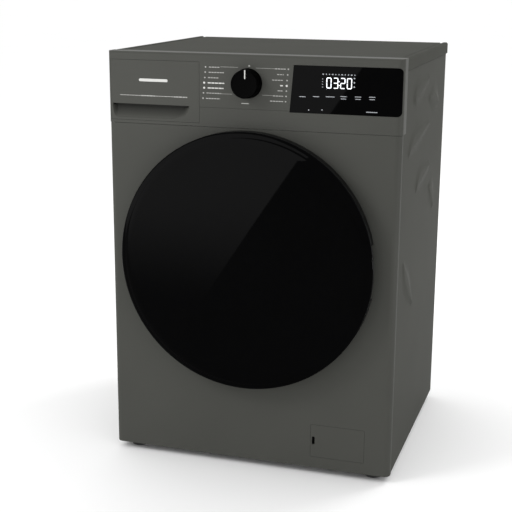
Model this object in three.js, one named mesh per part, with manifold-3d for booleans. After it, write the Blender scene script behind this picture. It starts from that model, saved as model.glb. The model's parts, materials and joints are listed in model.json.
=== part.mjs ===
// A front load washing machine: cabinet, control fascia, porthole door, suspended tub,
// drum, belt drive, pump and feet. Millimetres, X to the right, Y to the back, Z up.
// The origin is on the floor, under the middle of the overall box.

import * as THREE from "three";
import { mergeVertices } from "three/addons/utils/BufferGeometryUtils.js";
import Module from "manifold-3d";

const wasm = await Module();
wasm.setup();

// ---- driving dimensions ------------------------------------------------------------

const GAP = 0.4; // between touching neighbours
const FIT = 0.3; // round a pin or a shaft
const PLAY = 0.5; // between a moving leaf and its hole
const THROUGH = 5; // how far a cutting tool runs past the face it opens
const WIDTH = 600;
const HEIGHT = 850;
const DEPTH = 610;
const DOOR_BULGE = 50; // the door's crown stands this far in front of the front panel
const REAR_REACH = 35; // the inlet thread stands this far behind the rear panel

const FRONT_Y = -DEPTH / 2 + DOOR_BULGE;
const REAR_Y = DEPTH / 2 - REAR_REACH;
const HALF = WIDTH / 2;
const SHEET = 1.2; // painted sheet steel
const MOULDING = 2.2; // fascia wall

const FOOT_HEIGHT = 14;
const BASE_THICK = 3;
const FLOOR_Z = FOOT_HEIGHT + BASE_THICK + GAP; // what stands on the base tray starts here
const TOP_COVER_Z = HEIGHT - 24;
const FASCIA_Z = 708;
const FASCIA_BACK_Y = FRONT_Y + 37;
const CORNER_R = 13; // upright front corners
const BROW_R = 6; // the fascia's top front edge

const AXIS_Z = 445; // height of the drum's axis and of the door's centre
const SIDE_X = 297.4; // outer face of the side panels
const INSIDE_X = 295.5; // half the room between the side panels
const FRONT_HALF = 299; // half width of the front panel
const FRONT_TOP_Z = 706.5;
const FRONT_RETURN = 19; // depth of the front panel's side returns

const DOOR_R = 261;
const DOOR_BEVEL_R = 249;
const DOOR_BACK_Y = FRONT_Y - 3;
const COVER_EDGE_Y = FRONT_Y - 34.8;
const DOOR_APEX_Y = FRONT_Y - DOOR_BULGE;
const DOOR_INNER_R = 204;
const BOWL_FLANGE_R = 178;
const PANEL_HOLE_R = 205;
const HINGE_X = -243;
const HINGE_Y = FRONT_Y - 23;
const EAR_Z = 46; // inner face of each hinge ear, from the door's centre
const EAR_THICK = 5;
const PIN_R = 3;
const KNUCKLE_R = 6.5;
const RELEASE_X = 218;
const RELEASE_Y = FRONT_Y - 21;
const HOOK_HALF = 8;

const TUB_R = 255;
const TUB_WALL = 3;
const TUB_FRONT_Y = -188;
const TUB_REAR_Y = 187;
const TUB_LIP_R = 178;
const FLANGE_R = 262;
const HUB_R = 44;
const HUB_END_Y = 224;
const DRUM_R = 238;
const DRUM_FRONT_Y = -178.5;
const DRUM_BACK_Y = 150;
const DRUM_MOUTH_R = 192;
const SHAFT_START_Y = 158.5;
const SHAFT_R = 15;
const SHAFT_END_R = 12.5;
const BEARING_FRONT_R = 31;
const BEARING_REAR_R = 26;
const BEARING_FRONT_SPAN = [180, 196];
const BEARING_REAR_SPAN = [207, 222];
const PULLEY_Y = 226;
const PULLEY_WIDE = 14;
const PULLEY_R = 145;
const MOTOR_PULLEY_R = 11;
const MOTOR_Z = 116;
const MOTOR_R = 58;
const HEATER_R = 245; // distance of the heater's legs from the drum axis
const HEATER_TUBE_R = 4;
const HEATER_SPREAD = 0.14; // radians either side of straight down

const SPRING_X = 250;
const SPRING_Y = 80;
const SPRING_R = 13;
const SPRING_LOW_Z = 551.4;
const SPRING_HIGH_Z = 775.6;
const DAMPER_X = 150;
const DAMPER_Y = 40;
const DAMPER_TUBE_R = 15;
const DAMPER_TUBE_TOP = 130;
const DAMPER_LUG_Z = -218; // below the drum axis

const DRAWER_LEFT = -294;
const DRAWER_RIGHT = -104.3;
const DRAWER_LOW = 714.5;
const DRAWER_HIGH = 833.5;
const DRAWER_LIP_Z = 746.7; // lower edge of the lip over the finger pocket
const POCKET_LEFT = DRAWER_LEFT + 4;
const POCKET_RIGHT = -123.5;
const TRAY_LEFT = -286;
const TRAY_RIGHT = -106;
const TRAY_WALLS = [-226, -164]; // the two partitions between its wells
const TRAY_LOW = 717;
const TRAY_HIGH = 802;
const HOUSING_LOW = 713.3;
const HOUSING_HIGH = 816;
const DRAWER_DEEP = 15;
const KNOB_X = -4;
const KNOB_Z = 795.4;
const KNOB_R = 29;
const KNOB_STEM_R = 6;
const PANE_PROUD = 0.4;
const DISPLAY = { left: 88, slant: 7.5, right: 297, low: 743.5, high: 833, corner: 8 };

const VALVE_X = 210;
const VALVE_Z = 770;
const VALVE_THREAD_R = 13;
const DRAIN_X = 215;
const DRAIN_Z = 120;
const DRAIN_R = 14;
const MAINS_X = -225;
const MAINS_Z = 765;
const MAINS_R = 8.5;

const FLAP = { left: 134, right: 246, low: 39, high: 109 };
const FLAP_THICK = 3;
const PUMP_X = 191;
const PUMP_Z = 74;
const PUMP_R = 30;
const FOOT_X = 260;
const FOOT_FRONT_Y = -215;
const FOOT_REAR_Y = 235;
const STEM_R = 5.2;
const footPlaces = [
  { name: "foot_front_left", x: -FOOT_X, y: FOOT_FRONT_Y },
  { name: "foot_front_right", x: FOOT_X, y: FOOT_FRONT_Y },
  { name: "foot_rear_left", x: -FOOT_X, y: FOOT_REAR_Y },
  { name: "foot_rear_right", x: FOOT_X, y: FOOT_REAR_Y },
];

const ROUND = 40; // facets on large turned parts
const SOFT = 32; // facets on the gasket and the knob
const MEDIUM = 20;
const SMALL = 12;

// ---- materials ---------------------------------------------------------------------

const finish = (color, roughness, metalness) =>
  new THREE.MeshStandardMaterial({ color, roughness, metalness });

const body = () => finish(0x4f4f4b, 0.45, 0.5);
const blackGloss = () => finish(0x0a0b0b, 0.12, 0);
const darkPlastic = () => finish(0x1c1c1d, 0.5, 0);
const greyPlastic = () => finish(0x9a9c9e, 0.55, 0);
const whitePlastic = () => finish(0xd9dad8, 0.5, 0);
const steel = () => finish(0xb9bbbd, 0.3, 0.95);
const aluminium = () => finish(0xa8aaac, 0.4, 0.9);
const castIron = () => finish(0x55565a, 0.7, 0.6);
const concrete = () => finish(0x8c8a86, 0.9, 0);
const rubber = () => finish(0x6d6f70, 0.8, 0);
const blackRubber = () => finish(0x161616, 0.85, 0);
const clearGlass = () => finish(0xbfc7c9, 0.05, 0);

// ---- solids ------------------------------------------------------------------------

// Six times the volume inside a closed geometry, negative when its faces point inwards.
function signedVolume(geometry) {
  const at = geometry.attributes.position;
  const index = geometry.index;
  const corner = [0, 1, 2].map(() => new THREE.Vector3());
  let total = 0;
  for (let i = 0; i < index.count; i += 3) {
    corner.forEach((point, k) => point.fromBufferAttribute(at, index.getX(i + k)));
    total += corner[0].dot(corner[1].cross(corner[2]));
  }
  return total;
}

// Merges shared vertices and turns the faces outwards.
function closed(geometry) {
  const bare = geometry.index ? geometry.toNonIndexed() : geometry.clone();
  bare.deleteAttribute("normal");
  bare.deleteAttribute("uv");
  const merged = mergeVertices(bare, 1e-4);
  if (signedVolume(merged) < 0) {
    merged.index.array.reverse();
  }
  return merged;
}

function solidOf(geometry) {
  const merged = closed(geometry);
  const mesh = new wasm.Mesh({
    numProp: 3,
    vertProperties: merged.attributes.position.array,
    triVerts: new Uint32Array(merged.index.array),
  });
  return new wasm.Manifold(mesh);
}

function geometryOf(solid) {
  const mesh = solid.getMesh();
  const points = new THREE.BufferAttribute(new Float32Array(mesh.vertProperties), 3);
  return new THREE.BufferGeometry()
    .setAttribute("position", points)
    .setIndex(new THREE.BufferAttribute(mesh.triVerts, 1));
}

function joined(...geometries) {
  return geometryOf(geometries.map(solidOf).reduce((a, b) => a.add(b)));
}

function cut(base, ...tools) {
  return geometryOf(tools.map(solidOf).reduce((a, b) => a.subtract(b), solidOf(base)));
}

function shared(first, second) {
  return geometryOf(solidOf(first).intersect(solidOf(second)));
}

function box([x0, x1], [y0, y1], [z0, z1]) {
  return new THREE.BoxGeometry(x1 - x0, y1 - y0, z1 - z0)
    .translate((x0 + x1) / 2, (y0 + y1) / 2, (z0 + z1) / 2);
}

// A profile of [radius, y] points turned about the Y axis; it closes on itself.
function turned(profile, facets = ROUND) {
  const points = [...profile, profile[0]].map(([r, y]) => new THREE.Vector2(r, y));
  return new THREE.LatheGeometry(points, facets);
}

// The same about the Z axis, from [radius, z] points.
const turnedUp = (profile, facets = MEDIUM) => turned(profile, facets).rotateX(Math.PI / 2);

const rod = (radius, [y0, y1], facets = SMALL) =>
  new THREE.CylinderGeometry(radius, radius, y1 - y0, facets).translate(0, (y0 + y1) / 2, 0);

const post = (radius, [z0, z1], facets = SMALL) =>
  new THREE.CylinderGeometry(radius, radius, z1 - z0, facets)
    .rotateX(Math.PI / 2)
    .translate(0, 0, (z0 + z1) / 2);

// A front-view outline (x, z) given thickness from y0 to y1.
function plate(outline, [y0, y1], curveSegments = 8) {
  const options = { depth: y1 - y0, bevelEnabled: false, curveSegments };
  return new THREE.ExtrudeGeometry(outline, options).rotateX(Math.PI / 2).translate(0, y1, 0);
}

// A plan outline (x, y) given height from z0 to z1.
function column(outline, [z0, z1], curveSegments = 5) {
  const options = { depth: z1 - z0, bevelEnabled: false, curveSegments };
  return new THREE.ExtrudeGeometry(outline, options).translate(0, 0, z0);
}

// A side-view outline (y, z) run along X.
function beam(outline, [x0, x1], curveSegments = 6) {
  const options = { depth: x1 - x0, bevelEnabled: false, curveSegments };
  const yzx = new THREE.Matrix4().makeBasis(
    new THREE.Vector3(0, 1, 0),
    new THREE.Vector3(0, 0, 1),
    new THREE.Vector3(1, 0, 0),
  );
  return new THREE.ExtrudeGeometry(outline, options).applyMatrix4(yzx).translate(x0, 0, 0);
}

function piece(name, geometry, material, parent) {
  const mesh = new THREE.Mesh(closed(geometry), material);
  mesh.name = name;
  parent.add(mesh);
  return mesh;
}

function groupAt(x, y, z, parent) {
  const group = new THREE.Group();
  group.position.set(x, y, z);
  parent.add(group);
  return group;
}

// ---- outlines ----------------------------------------------------------------------

// The cabinet's plan with rounded front corners, inset by a wall thickness.
function frontPlan(half, backY, inset) {
  const r = CORNER_R - inset;
  const x = half - inset;
  const y = FRONT_Y + inset;
  const plan = new THREE.Shape();
  plan.moveTo(-x, backY);
  plan.lineTo(-x, y + r);
  plan.absarc(-x + r, y + r, r, Math.PI, 1.5 * Math.PI, false);
  plan.absarc(x - r, y + r, r, 1.5 * Math.PI, 2 * Math.PI, false);
  plan.lineTo(x, backY);
  plan.closePath();
  return plan;
}

// The fascia's side view with its rounded brow, inset by a wall thickness.
function browProfile(backY, lowZ, inset) {
  const r = BROW_R - inset;
  const y = FRONT_Y + inset;
  const z = HEIGHT - inset;
  const side = new THREE.Shape();
  side.moveTo(backY, lowZ);
  side.lineTo(y, lowZ);
  side.lineTo(y, z - r);
  side.absarc(y + r, z - r, r, Math.PI, Math.PI / 2, true);
  side.lineTo(backY, z);
  side.closePath();
  return side;
}

// A loop round two wheels, one on the drum axis and one on the motor axis (x, z).
function loopOutline(bigR, smallR, bigZ, smallZ) {
  const lean = Math.asin((bigR - smallR) / (bigZ - smallZ));
  const loop = new THREE.Shape();
  loop.absarc(0, bigZ, bigR, -lean, Math.PI + lean, false);
  loop.absarc(0, smallZ, smallR, Math.PI + lean, 2 * Math.PI - lean, false);
  loop.closePath();
  return loop;
}

// The opening behind the two pulleys, grown by a margin.
const serviceOutline = (margin) => loopOutline(150 + margin, 45 + margin, AXIS_Z, MOTOR_Z);

// A pane whose left edge leans out towards its foot and whose right corners are round.
function leaningPane({ left, slant, right, low, high, corner }) {
  const pane = new THREE.Shape();
  pane.moveTo(left - slant, low);
  pane.lineTo(right - corner, low);
  pane.absarc(right - corner, low + corner, corner, -Math.PI / 2, 0, false);
  pane.absarc(right - corner, high - corner, corner, 0, Math.PI / 2, false);
  pane.lineTo(left, high);
  pane.closePath();
  return pane;
}

// A centreline of [radius, y] points thickened to a closed turned profile.
function thickened(line, thickness) {
  const offset = (side) =>
    line.map(([r, y], i) => {
      const [r0, y0] = line[Math.max(i - 1, 0)];
      const [r1, y1] = line[Math.min(i + 1, line.length - 1)];
      const length = Math.hypot(r1 - r0, y1 - y0);
      const reach = (side * thickness) / 2 / length;
      return [r - (y1 - y0) * reach, y + (r1 - r0) * reach];
    });
  return [...offset(1), ...offset(-1).reverse()];
}

// ---- cabinet -----------------------------------------------------------------------

function sidePanel(side) {
  const inner = SIDE_X - SHEET;
  const backY = REAR_Y - 2;
  const frontY = FRONT_Y + FRONT_RETURN + GAP;
  const topZ = TOP_COVER_Z - GAP;
  const flange = 12;
  const wall = box([inner, SIDE_X], [frontY, backY], [FOOT_HEIGHT + 1, topZ]);
  const rearFlange = box([inner - flange, inner + 0.5], [backY - SHEET, backY], [40, topZ]);
  const topFlange = box([inner - flange, inner + 0.5], [-200, backY], [topZ - SHEET, topZ]);
  const hookZ = SPRING_HIGH_Z + GAP;
  const hookThick = 5;
  const springHook = box(
    [SPRING_X - SPRING_R - 1, inner + 0.5],
    [SPRING_Y - SPRING_R + 1, SPRING_Y + SPRING_R - 1],
    [hookZ, hookZ + hookThick],
  );
  return joined(wall, rearFlange, topFlange, springHook).scale(side, 1, 1);
}

function rearPanel() {
  const [y0, y1] = [REAR_Y - 1.6, REAR_Y - 0.4];
  const halfWide = SIDE_X - SHEET - 0.2;
  const sheet = box([-halfWide, halfWide], [y0, y1], [30, TOP_COVER_Z - GAP]);
  const reach = [y0 - THROUGH, y1 + THROUGH];
  const opening = plate(serviceOutline(0), reach);
  const holes = [
    rod(VALVE_THREAD_R + 1, reach).translate(VALVE_X, 0, VALVE_Z),
    rod(DRAIN_R + 1, reach).translate(DRAIN_X, 0, DRAIN_Z),
    rod(MAINS_R + PLAY, reach).translate(MAINS_X, 0, MAINS_Z),
  ];
  return cut(sheet, opening, ...holes);
}

function rearAccessCover() {
  const skin = 1.5;
  const bulgeDepth = 16;
  const rim = plate(serviceOutline(15), [REAR_Y, REAR_Y + skin]);
  const bulge = plate(serviceOutline(5), [REAR_Y, REAR_Y + bulgeDepth]);
  const hollow = plate(serviceOutline(5 - skin), [REAR_Y - 1, REAR_Y + bulgeDepth - skin]);
  return cut(joined(rim, bulge), hollow);
}

function topCover() {
  const slab = box([-HALF, HALF], [FASCIA_BACK_Y + GAP, REAR_Y + 3], [TOP_COVER_Z, HEIGHT]);
  const rim = 12;
  const recess = box(
    [-HALF + rim, HALF - rim],
    [FASCIA_BACK_Y + rim, REAR_Y - rim],
    [TOP_COVER_Z - 1, TOP_COVER_Z + rim / 2],
  );
  return cut(slab, recess);
}

function frontPanel() {
  const backY = FRONT_Y + FRONT_RETURN;
  const tall = [FOOT_HEIGHT + 1, FRONT_TOP_Z];
  const outer = column(frontPlan(FRONT_HALF, backY, 0), tall);
  const inner = column(frontPlan(FRONT_HALF, backY + THROUGH, SHEET), [0, HEIGHT]);
  const reach = [FRONT_Y - THROUGH, FRONT_Y + THROUGH];
  const mouth = rod(PANEL_HOLE_R - SHEET / 2, reach, ROUND).translate(0, 0, AXIS_Z);
  const flangeBack = FRONT_Y + 17;
  const flangeProfile = [
    [PANEL_HOLE_R - SHEET, FRONT_Y],
    [PANEL_HOLE_R, FRONT_Y],
    [PANEL_HOLE_R, flangeBack],
    [PANEL_HOLE_R - SHEET, flangeBack],
  ];
  const flange = turned(flangeProfile).translate(0, 0, AXIS_Z);
  const earSlots = [-1, 1].map((side) => {
    const middle = AXIS_Z + side * (EAR_Z + EAR_THICK / 2);
    return box([HINGE_X - 6, HINGE_X + 6], reach, [middle - 3.5, middle + 3.5]);
  });
  const hookSlot = box([RELEASE_X - 8, RELEASE_X + 12], reach, [AXIS_Z - 12, AXIS_Z + 12]);
  const flapHole = box(
    [FLAP.left - PLAY, FLAP.right + PLAY],
    reach,
    [FLAP.low - PLAY, FLAP.high + PLAY],
  );
  const shell = cut(outer, inner, mouth, ...earSlots, hookSlot, flapHole);
  return joined(shell, flange);
}

function controlFascia() {
  const back = FASCIA_BACK_Y;
  const low = FASCIA_Z;
  const outer = shared(
    column(frontPlan(HALF, back, 0), [low, HEIGHT]),
    beam(browProfile(back, low, 0), [-HALF - 1, HALF + 1]),
  );
  const inner = shared(
    column(frontPlan(HALF, back + THROUGH, MOULDING), [low + MOULDING, HEIGHT]),
    beam(browProfile(back + THROUGH, low + MOULDING, MOULDING), [-HALF - 1, HALF + 1]),
  );
  const reach = [FRONT_Y - THROUGH, FRONT_Y + THROUGH];
  const wellX = HALF - MOULDING;
  const panelWell = box(
    [-wellX, wellX],
    [FRONT_Y + FRONT_RETURN - 2, back + THROUGH],
    [low - 1, low + 2 * MOULDING],
  );
  const drawerHole = box(
    [DRAWER_LEFT - PLAY, DRAWER_RIGHT + PLAY],
    [FRONT_Y - THROUGH, FRONT_Y + CORNER_R - 4],
    [DRAWER_LOW - PLAY, DRAWER_HIGH + PLAY],
  );
  const grown = {
    ...DISPLAY,
    left: DISPLAY.left - GAP,
    right: DISPLAY.right + GAP,
    low: DISPLAY.low - GAP,
    high: DISPLAY.high + GAP,
    corner: DISPLAY.corner + GAP,
  };
  const paneHole = plate(leaningPane(grown), [FRONT_Y - THROUGH, FRONT_Y + CORNER_R + 1]);
  const knobHole = rod(KNOB_STEM_R + 3, reach, MEDIUM).translate(KNOB_X, 0, KNOB_Z);
  return cut(outer, inner, panelWell, drawerHole, paneHole, knobHole);
}

// The pane follows the cabinet's plan, so its right edge turns with the corner.
function displayWindow() {
  const backY = FRONT_Y + 2 * CORNER_R;
  const outline = plate(leaningPane(DISPLAY), [FRONT_Y - THROUGH, backY - 1]);
  const outer = column(frontPlan(HALF, backY, -PANE_PROUD), [FASCIA_Z, HEIGHT]);
  const inner = column(frontPlan(HALF, backY, MOULDING), [FASCIA_Z, HEIGHT]);
  return cut(shared(outline, outer), inner);
}

function baseTray() {
  const [low, high] = [FOOT_HEIGHT, 35];
  const wall = 2;
  const [x, y0, y1] = [INSIDE_X, FRONT_Y + 8, REAR_Y - 5];
  const outer = box([-x, x], [y0, y1], [low, high]);
  const inner = box([wall - x, x - wall], [y0 + wall, y1 - wall], [low + BASE_THICK, high + 1]);
  const holes = footPlaces.map((place) =>
    post(STEM_R + PLAY, [0, high]).translate(place.x, place.y, 0),
  );
  return cut(outer, inner, ...holes);
}

function frontCrossbeam() {
  const [y0, y1] = [-232, -206];
  const low = TOP_COVER_Z - 8;
  const bar = box([-INSIDE_X, INSIDE_X], [y0, y1], [low, TOP_COVER_Z - GAP]);
  const channel = box([-HALF, HALF], [y0 + 1.5, y1 - 1.5], [low - 1, TOP_COVER_Z - 2]);
  return cut(bar, channel);
}

function inletValve() {
  const endY = DEPTH / 2;
  const waterwayR = 8;
  const stub = rod(VALVE_THREAD_R, [REAR_Y - 15, endY], MEDIUM);
  const housing = box([-22, 22], [REAR_Y - 55, REAR_Y - 10], [-18, 18]);
  const bore = rod(waterwayR, [REAR_Y - 30, endY + 1]);
  const spout = post(waterwayR, [-45, -10]).translate(0, REAR_Y - 40, 0);
  return cut(joined(stub, housing, spout), bore);
}

function drainOutlet() {
  const boreR = DRAIN_R - 4;
  const [y0, y1] = [REAR_Y - 25, REAR_Y + 30];
  const barb = [[DRAIN_R, y1 - 8], [DRAIN_R + 2, y1 - 6], [DRAIN_R, y1]];
  return turned([[boreR, y0], [DRAIN_R, y0], ...barb, [boreR, y1]], MEDIUM);
}

function mainsInletGland() {
  const boreR = 4;
  const collarR = 14;
  const [y0, y1] = [REAR_Y - 15, REAR_Y + 12];
  const profile = [
    [boreR, y0],
    [MAINS_R, y0],
    [MAINS_R, REAR_Y + GAP],
    [collarR, REAR_Y + GAP],
    [collarR, y1 - 6],
    [MAINS_R + PLAY, y1],
    [boreR, y1],
  ];
  return turned(profile, MEDIUM);
}

function motorController() {
  const [x0, x1] = [-272, -205];
  const high = 110;
  const shell = box([x0, x1], [-198, -80], [FLOOR_Z, high]);
  const grooves = [0, 1, 2, 3, 4].map((i) => {
    const y = -180 + i * 18;
    return box([x0 + 10, x1 - 10], [y, y + 8], [high - 8, high + 1]);
  });
  return cut(shell, ...grooves);
}

function dispenserHousing() {
  const [x0, x1] = [-293, -95];
  const [y0, y1] = [FRONT_Y + DRAWER_DEEP + PLAY, 40];
  const [z0, z1] = [HOUSING_LOW, HOUSING_HIGH];
  const wall = 2.5;
  const outer = box([x0, x1], [y0, y1], [z0, z1]);
  const inner = box([x0 + wall, x1 - wall], [y0 - 1, y1 - wall], [z0 + wall, z1 - wall]);
  const spoutR = 16;
  const spout = post(spoutR, [z0 - 14, z0 + 1]).translate(-150, 10, 0);
  const drain = post(spoutR - 3, [z0 - 15, z0 + wall + 1]).translate(-150, 10, 0);
  return cut(joined(outer, spout), inner, drain);
}

function doorLock() {
  const shell = box([RELEASE_X - 11, RELEASE_X + 28], [FRONT_Y + SHEET + GAP, FRONT_Y + 31], [-32, 32]);
  const mouth = box([RELEASE_X - 8.5, RELEASE_X + 12.5], [FRONT_Y, FRONT_Y + 18], [-13, 13]);
  return cut(shell, mouth);
}

function drainPump() {
  const [y0, y1] = [-235.6, -95];
  const chamberEnd = -148;
  const wall = 4;
  const inletR = 16;
  const [inletX, inletY] = [-8, -205];
  const chamber = rod(PUMP_R, [y0, chamberEnd], MEDIUM);
  const motor = rod(PUMP_R - 6, [chamberEnd - 1, y1], MEDIUM);
  const stand = box([-20, 20], [-222, -112], [FLOOR_Z - PUMP_Z, -PUMP_R / 2]);
  const inlet = post(inletR, [20, 62]).translate(inletX, inletY, 0);
  const bore = rod(PUMP_R - wall, [y0 - 1, chamberEnd - 2], MEDIUM);
  const inletBore = post(inletR - wall, [10, 63]).translate(inletX, inletY, 0);
  return cut(joined(chamber, motor, stand, inlet), bore, inletBore);
}

function filterCap() {
  const disc = rod(27, [-248, -236], MEDIUM);
  const grip = box([-18, 18], [-251, -247], [-4, 4]);
  const basket = rod(23, [-237, -172], MEDIUM);
  const hollow = rod(20, [-232, -171], MEDIUM);
  return cut(joined(disc, grip, basket), hollow);
}

function pumpImpeller() {
  const hub = rod(7, [-165, -153]);
  const blades = [0, 1, 2, 3].map((i) =>
    box([2, 20], [-164, -154], [-1.5, 1.5]).rotateY((i * Math.PI) / 2),
  );
  return joined(hub, ...blades);
}

function filterFlap() {
  const width = FLAP.right - FLAP.left;
  const leaf = box([-width, 0], [0, FLAP_THICK], [FLAP.low, FLAP.high]);
  const notch = box([3 - width, 10 - width], [-1, FLAP_THICK + 1], [FLAP.low + 27, FLAP.low + 44]);
  return cut(leaf, notch);
}

function doorHingePlate() {
  const baseHalf = 60;
  const base = box(
    [HINGE_X - 6, HINGE_X + 28],
    [FRONT_Y + SHEET + GAP, FRONT_Y + 4.5],
    [-baseHalf, baseHalf],
  );
  const ears = [-1, 1].map((side) => {
    const [low, high] = [EAR_Z, EAR_Z + EAR_THICK];
    const span = side > 0 ? [low, high] : [-high, -low];
    const arm = box([HINGE_X - 4, HINGE_X + 4], [HINGE_Y, FRONT_Y + 3], span);
    const eye = post(KNUCKLE_R, span).translate(HINGE_X, HINGE_Y, 0);
    const hole = post(PIN_R + FIT, [span[0] - 1, span[1] + 1]).translate(HINGE_X, HINGE_Y, 0);
    return cut(joined(arm, eye), hole);
  });
  return joined(base, ...ears);
}

// ---- door --------------------------------------------------------------------------

// Depth of the cover's outer face at a distance from its centre.
const crown = (r) => DOOR_APEX_Y + 9 * (r / DOOR_BEVEL_R) ** 2;

function doorCover() {
  const thick = 4;
  const steps = [0, 150, DOOR_BEVEL_R];
  const outer = steps.map((r) => [r, crown(r)]);
  const inner = steps.map((r) => [r, crown(r) + thick]).reverse();
  const rim = [[DOOR_R, COVER_EDGE_Y - 2], [DOOR_R, COVER_EDGE_Y], [DOOR_BEVEL_R + 1, COVER_EDGE_Y]];
  return turned([...outer, ...rim, ...inner]);
}

function doorOuterFrame() {
  const front = COVER_EDGE_Y + GAP;
  const profile = [
    [DOOR_R - 10, DOOR_BACK_Y],
    [DOOR_R, DOOR_BACK_Y - 12],
    [DOOR_R, front],
    [DOOR_R - 3.5, front],
    [DOOR_R - 3.5, DOOR_BACK_Y - 13],
    [DOOR_R - 12, DOOR_BACK_Y - 3],
    [DOOR_INNER_R + GAP, DOOR_BACK_Y - 3],
    [DOOR_INNER_R + GAP, DOOR_BACK_Y],
  ];
  const earSlots = [-1, 1].map((side) => {
    const middle = side * (EAR_Z + EAR_THICK / 2);
    return box(
      [-DOOR_R - 4, HINGE_X + 9],
      [front + PLAY, DOOR_BACK_Y + 1],
      [middle - 4, middle + 4],
    );
  });
  const gripRecess = box([226, DOOR_R + 4], [FRONT_Y - 29, DOOR_BACK_Y + 1], [-55, 55]);
  const hookSlot = box([208, 227], [FRONT_Y - 8, DOOR_BACK_Y + 1], [-11, 11]);
  return cut(turned(profile), ...earSlots, gripRecess, hookSlot);
}

function doorInnerFrame() {
  const seatR = BOWL_FLANGE_R + GAP;
  const profile = [
    [DOOR_INNER_R, -288],
    [DOOR_INNER_R, DOOR_BACK_Y],
    [166, DOOR_BACK_Y],
    [166, DOOR_BACK_Y - 3.7],
    [seatR, DOOR_BACK_Y - 3.7],
    [seatR, -270],
    [DOOR_INNER_R - 4, -288],
  ];
  return turned(profile);
}

function doorGlassBowl() {
  const profile = [
    [0, -152],
    [98, -156],
    [128, -170],
    [150, -215],
    [160, -262],
    [BOWL_FLANGE_R, -262],
    [BOWL_FLANGE_R, -266],
    [156, -266],
    [146, -216],
    [124.5, -173],
    [97, -160.5],
    [0, -156.5],
  ];
  return turned(profile);
}

function doorHingeArm() {
  const barrelHalf = EAR_Z - PLAY;
  const pinHalf = EAR_Z + EAR_THICK + 2;
  const barrel = post(KNUCKLE_R, [-barrelHalf, barrelHalf]).translate(HINGE_X, HINGE_Y, 0);
  const pin = post(PIN_R, [-pinHalf, pinHalf]).translate(HINGE_X, HINGE_Y, 0);
  const leaf = box([HINGE_X, -207.5], [HINGE_Y - 4, HINGE_Y + 1], [-42, 42]);
  const boss = box([-228, -210], [HINGE_Y, DOOR_BACK_Y - 3 - GAP], [-38, 38]);
  return joined(barrel, pin, leaf, boss);
}

function doorHandle() {
  const half = 50;
  const barrelR = 4;
  const barrel = post(barrelR, [-half, half]).translate(RELEASE_X, RELEASE_Y, 0);
  const lever = box([RELEASE_X - 3, RELEASE_X + 25], [RELEASE_Y - 7, RELEASE_Y - 3], [-half, half]);
  const bore = post(barrelR / 2, [-half - 1, half + 1]).translate(RELEASE_X, RELEASE_Y, 0);
  const hookGap = box(
    [RELEASE_X - 9, RELEASE_X + 9],
    [RELEASE_Y - 2.6, RELEASE_Y + 6],
    [-HOOK_HALF - PLAY, HOOK_HALF + PLAY],
  );
  return cut(joined(barrel, lever), bore, hookGap);
}

function doorHook() {
  const span = [-HOOK_HALF, HOOK_HALF];
  const tipY = FRONT_Y + 9;
  const eye = post(4, span).translate(RELEASE_X, RELEASE_Y + 2, 0);
  const shank = box([RELEASE_X - 2, RELEASE_X + 2], [RELEASE_Y + 2, tipY], span);
  const nose = box([RELEASE_X - 5.5, RELEASE_X - 1], [tipY - 5, tipY], span);
  return joined(eye, shank, nose);
}

// ---- drawer and knob ---------------------------------------------------------------

// The front's left edge follows the cabinet's round corner.
function drawerFront() {
  const heights = [DRAWER_LOW, DRAWER_HIGH];
  const depth = [FRONT_Y, FRONT_Y + DRAWER_DEEP];
  const slab = shared(
    box([DRAWER_LEFT, DRAWER_RIGHT], depth, heights),
    column(frontPlan(HALF, FRONT_Y + 2 * DRAWER_DEEP, 0), heights),
  );
  const floorZ = DRAWER_LOW + 3;
  const backY = FRONT_Y + DRAWER_DEEP - 3;
  const pocket = new THREE.Shape();
  pocket.moveTo(POCKET_LEFT, floorZ);
  pocket.lineTo(POCKET_RIGHT - 42.5, floorZ);
  pocket.quadraticCurveTo(POCKET_RIGHT - 14.5, floorZ + 5, POCKET_RIGHT, DRAWER_LIP_Z);
  pocket.lineTo(POCKET_LEFT, DRAWER_LIP_Z);
  pocket.closePath();
  const scoop = plate(pocket, [FRONT_Y - 1, backY]);
  const gripHeight = 16;
  const grip = box(
    [POCKET_LEFT, POCKET_RIGHT - 3],
    [FRONT_Y + 3, backY],
    [DRAWER_LIP_Z - 1, DRAWER_LIP_Z + gripHeight],
  );
  return cut(slab, scoop, grip);
}

function drawerTray() {
  const wall = 2;
  const [y0, y1] = [FRONT_Y + DRAWER_DEEP + GAP, -30];
  const edges = [TRAY_LEFT, ...TRAY_WALLS, TRAY_RIGHT];
  const shell = box([TRAY_LEFT, TRAY_RIGHT], [y0, y1], [TRAY_LOW, TRAY_HIGH]);
  const wells = [0, 1, 2].map((i) =>
    box(
      [edges[i] + wall, edges[i + 1] - wall],
      [y0 + wall, y1 - wall],
      [TRAY_LOW + wall, TRAY_HIGH + 1],
    ),
  );
  return cut(shell, ...wells);
}

function siphonCap() {
  const [x0, x1] = [TRAY_WALLS[1] + 4, TRAY_RIGHT - 3.5];
  const [y0, y1] = [-150, -100];
  const lid = box([x0, x1], [y0, y1], [TRAY_HIGH - 7, TRAY_HIGH - 2]);
  const tube = post(9, [TRAY_LOW + 9, TRAY_HIGH - 6]).translate((x0 + x1) / 2, (y0 + y1) / 2, 0);
  return joined(lid, tube);
}

function programmeKnob() {
  const face = FRONT_Y - 25;
  const skirt = FRONT_Y - GAP;
  const stemEnd = FRONT_Y + 14;
  const profile = [
    [0, face],
    [KNOB_R - 3, face],
    [KNOB_R - 1, face + 2],
    [KNOB_R, skirt],
    [KNOB_STEM_R, skirt],
    [KNOB_STEM_R, stemEnd],
    [0, stemEnd],
  ];
  const pointer = box([-1.2, 1.2], [face - 1, face + 0.8], [KNOB_R - 14, KNOB_R + 1]);
  return cut(turned(profile, SOFT), pointer);
}

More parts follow.
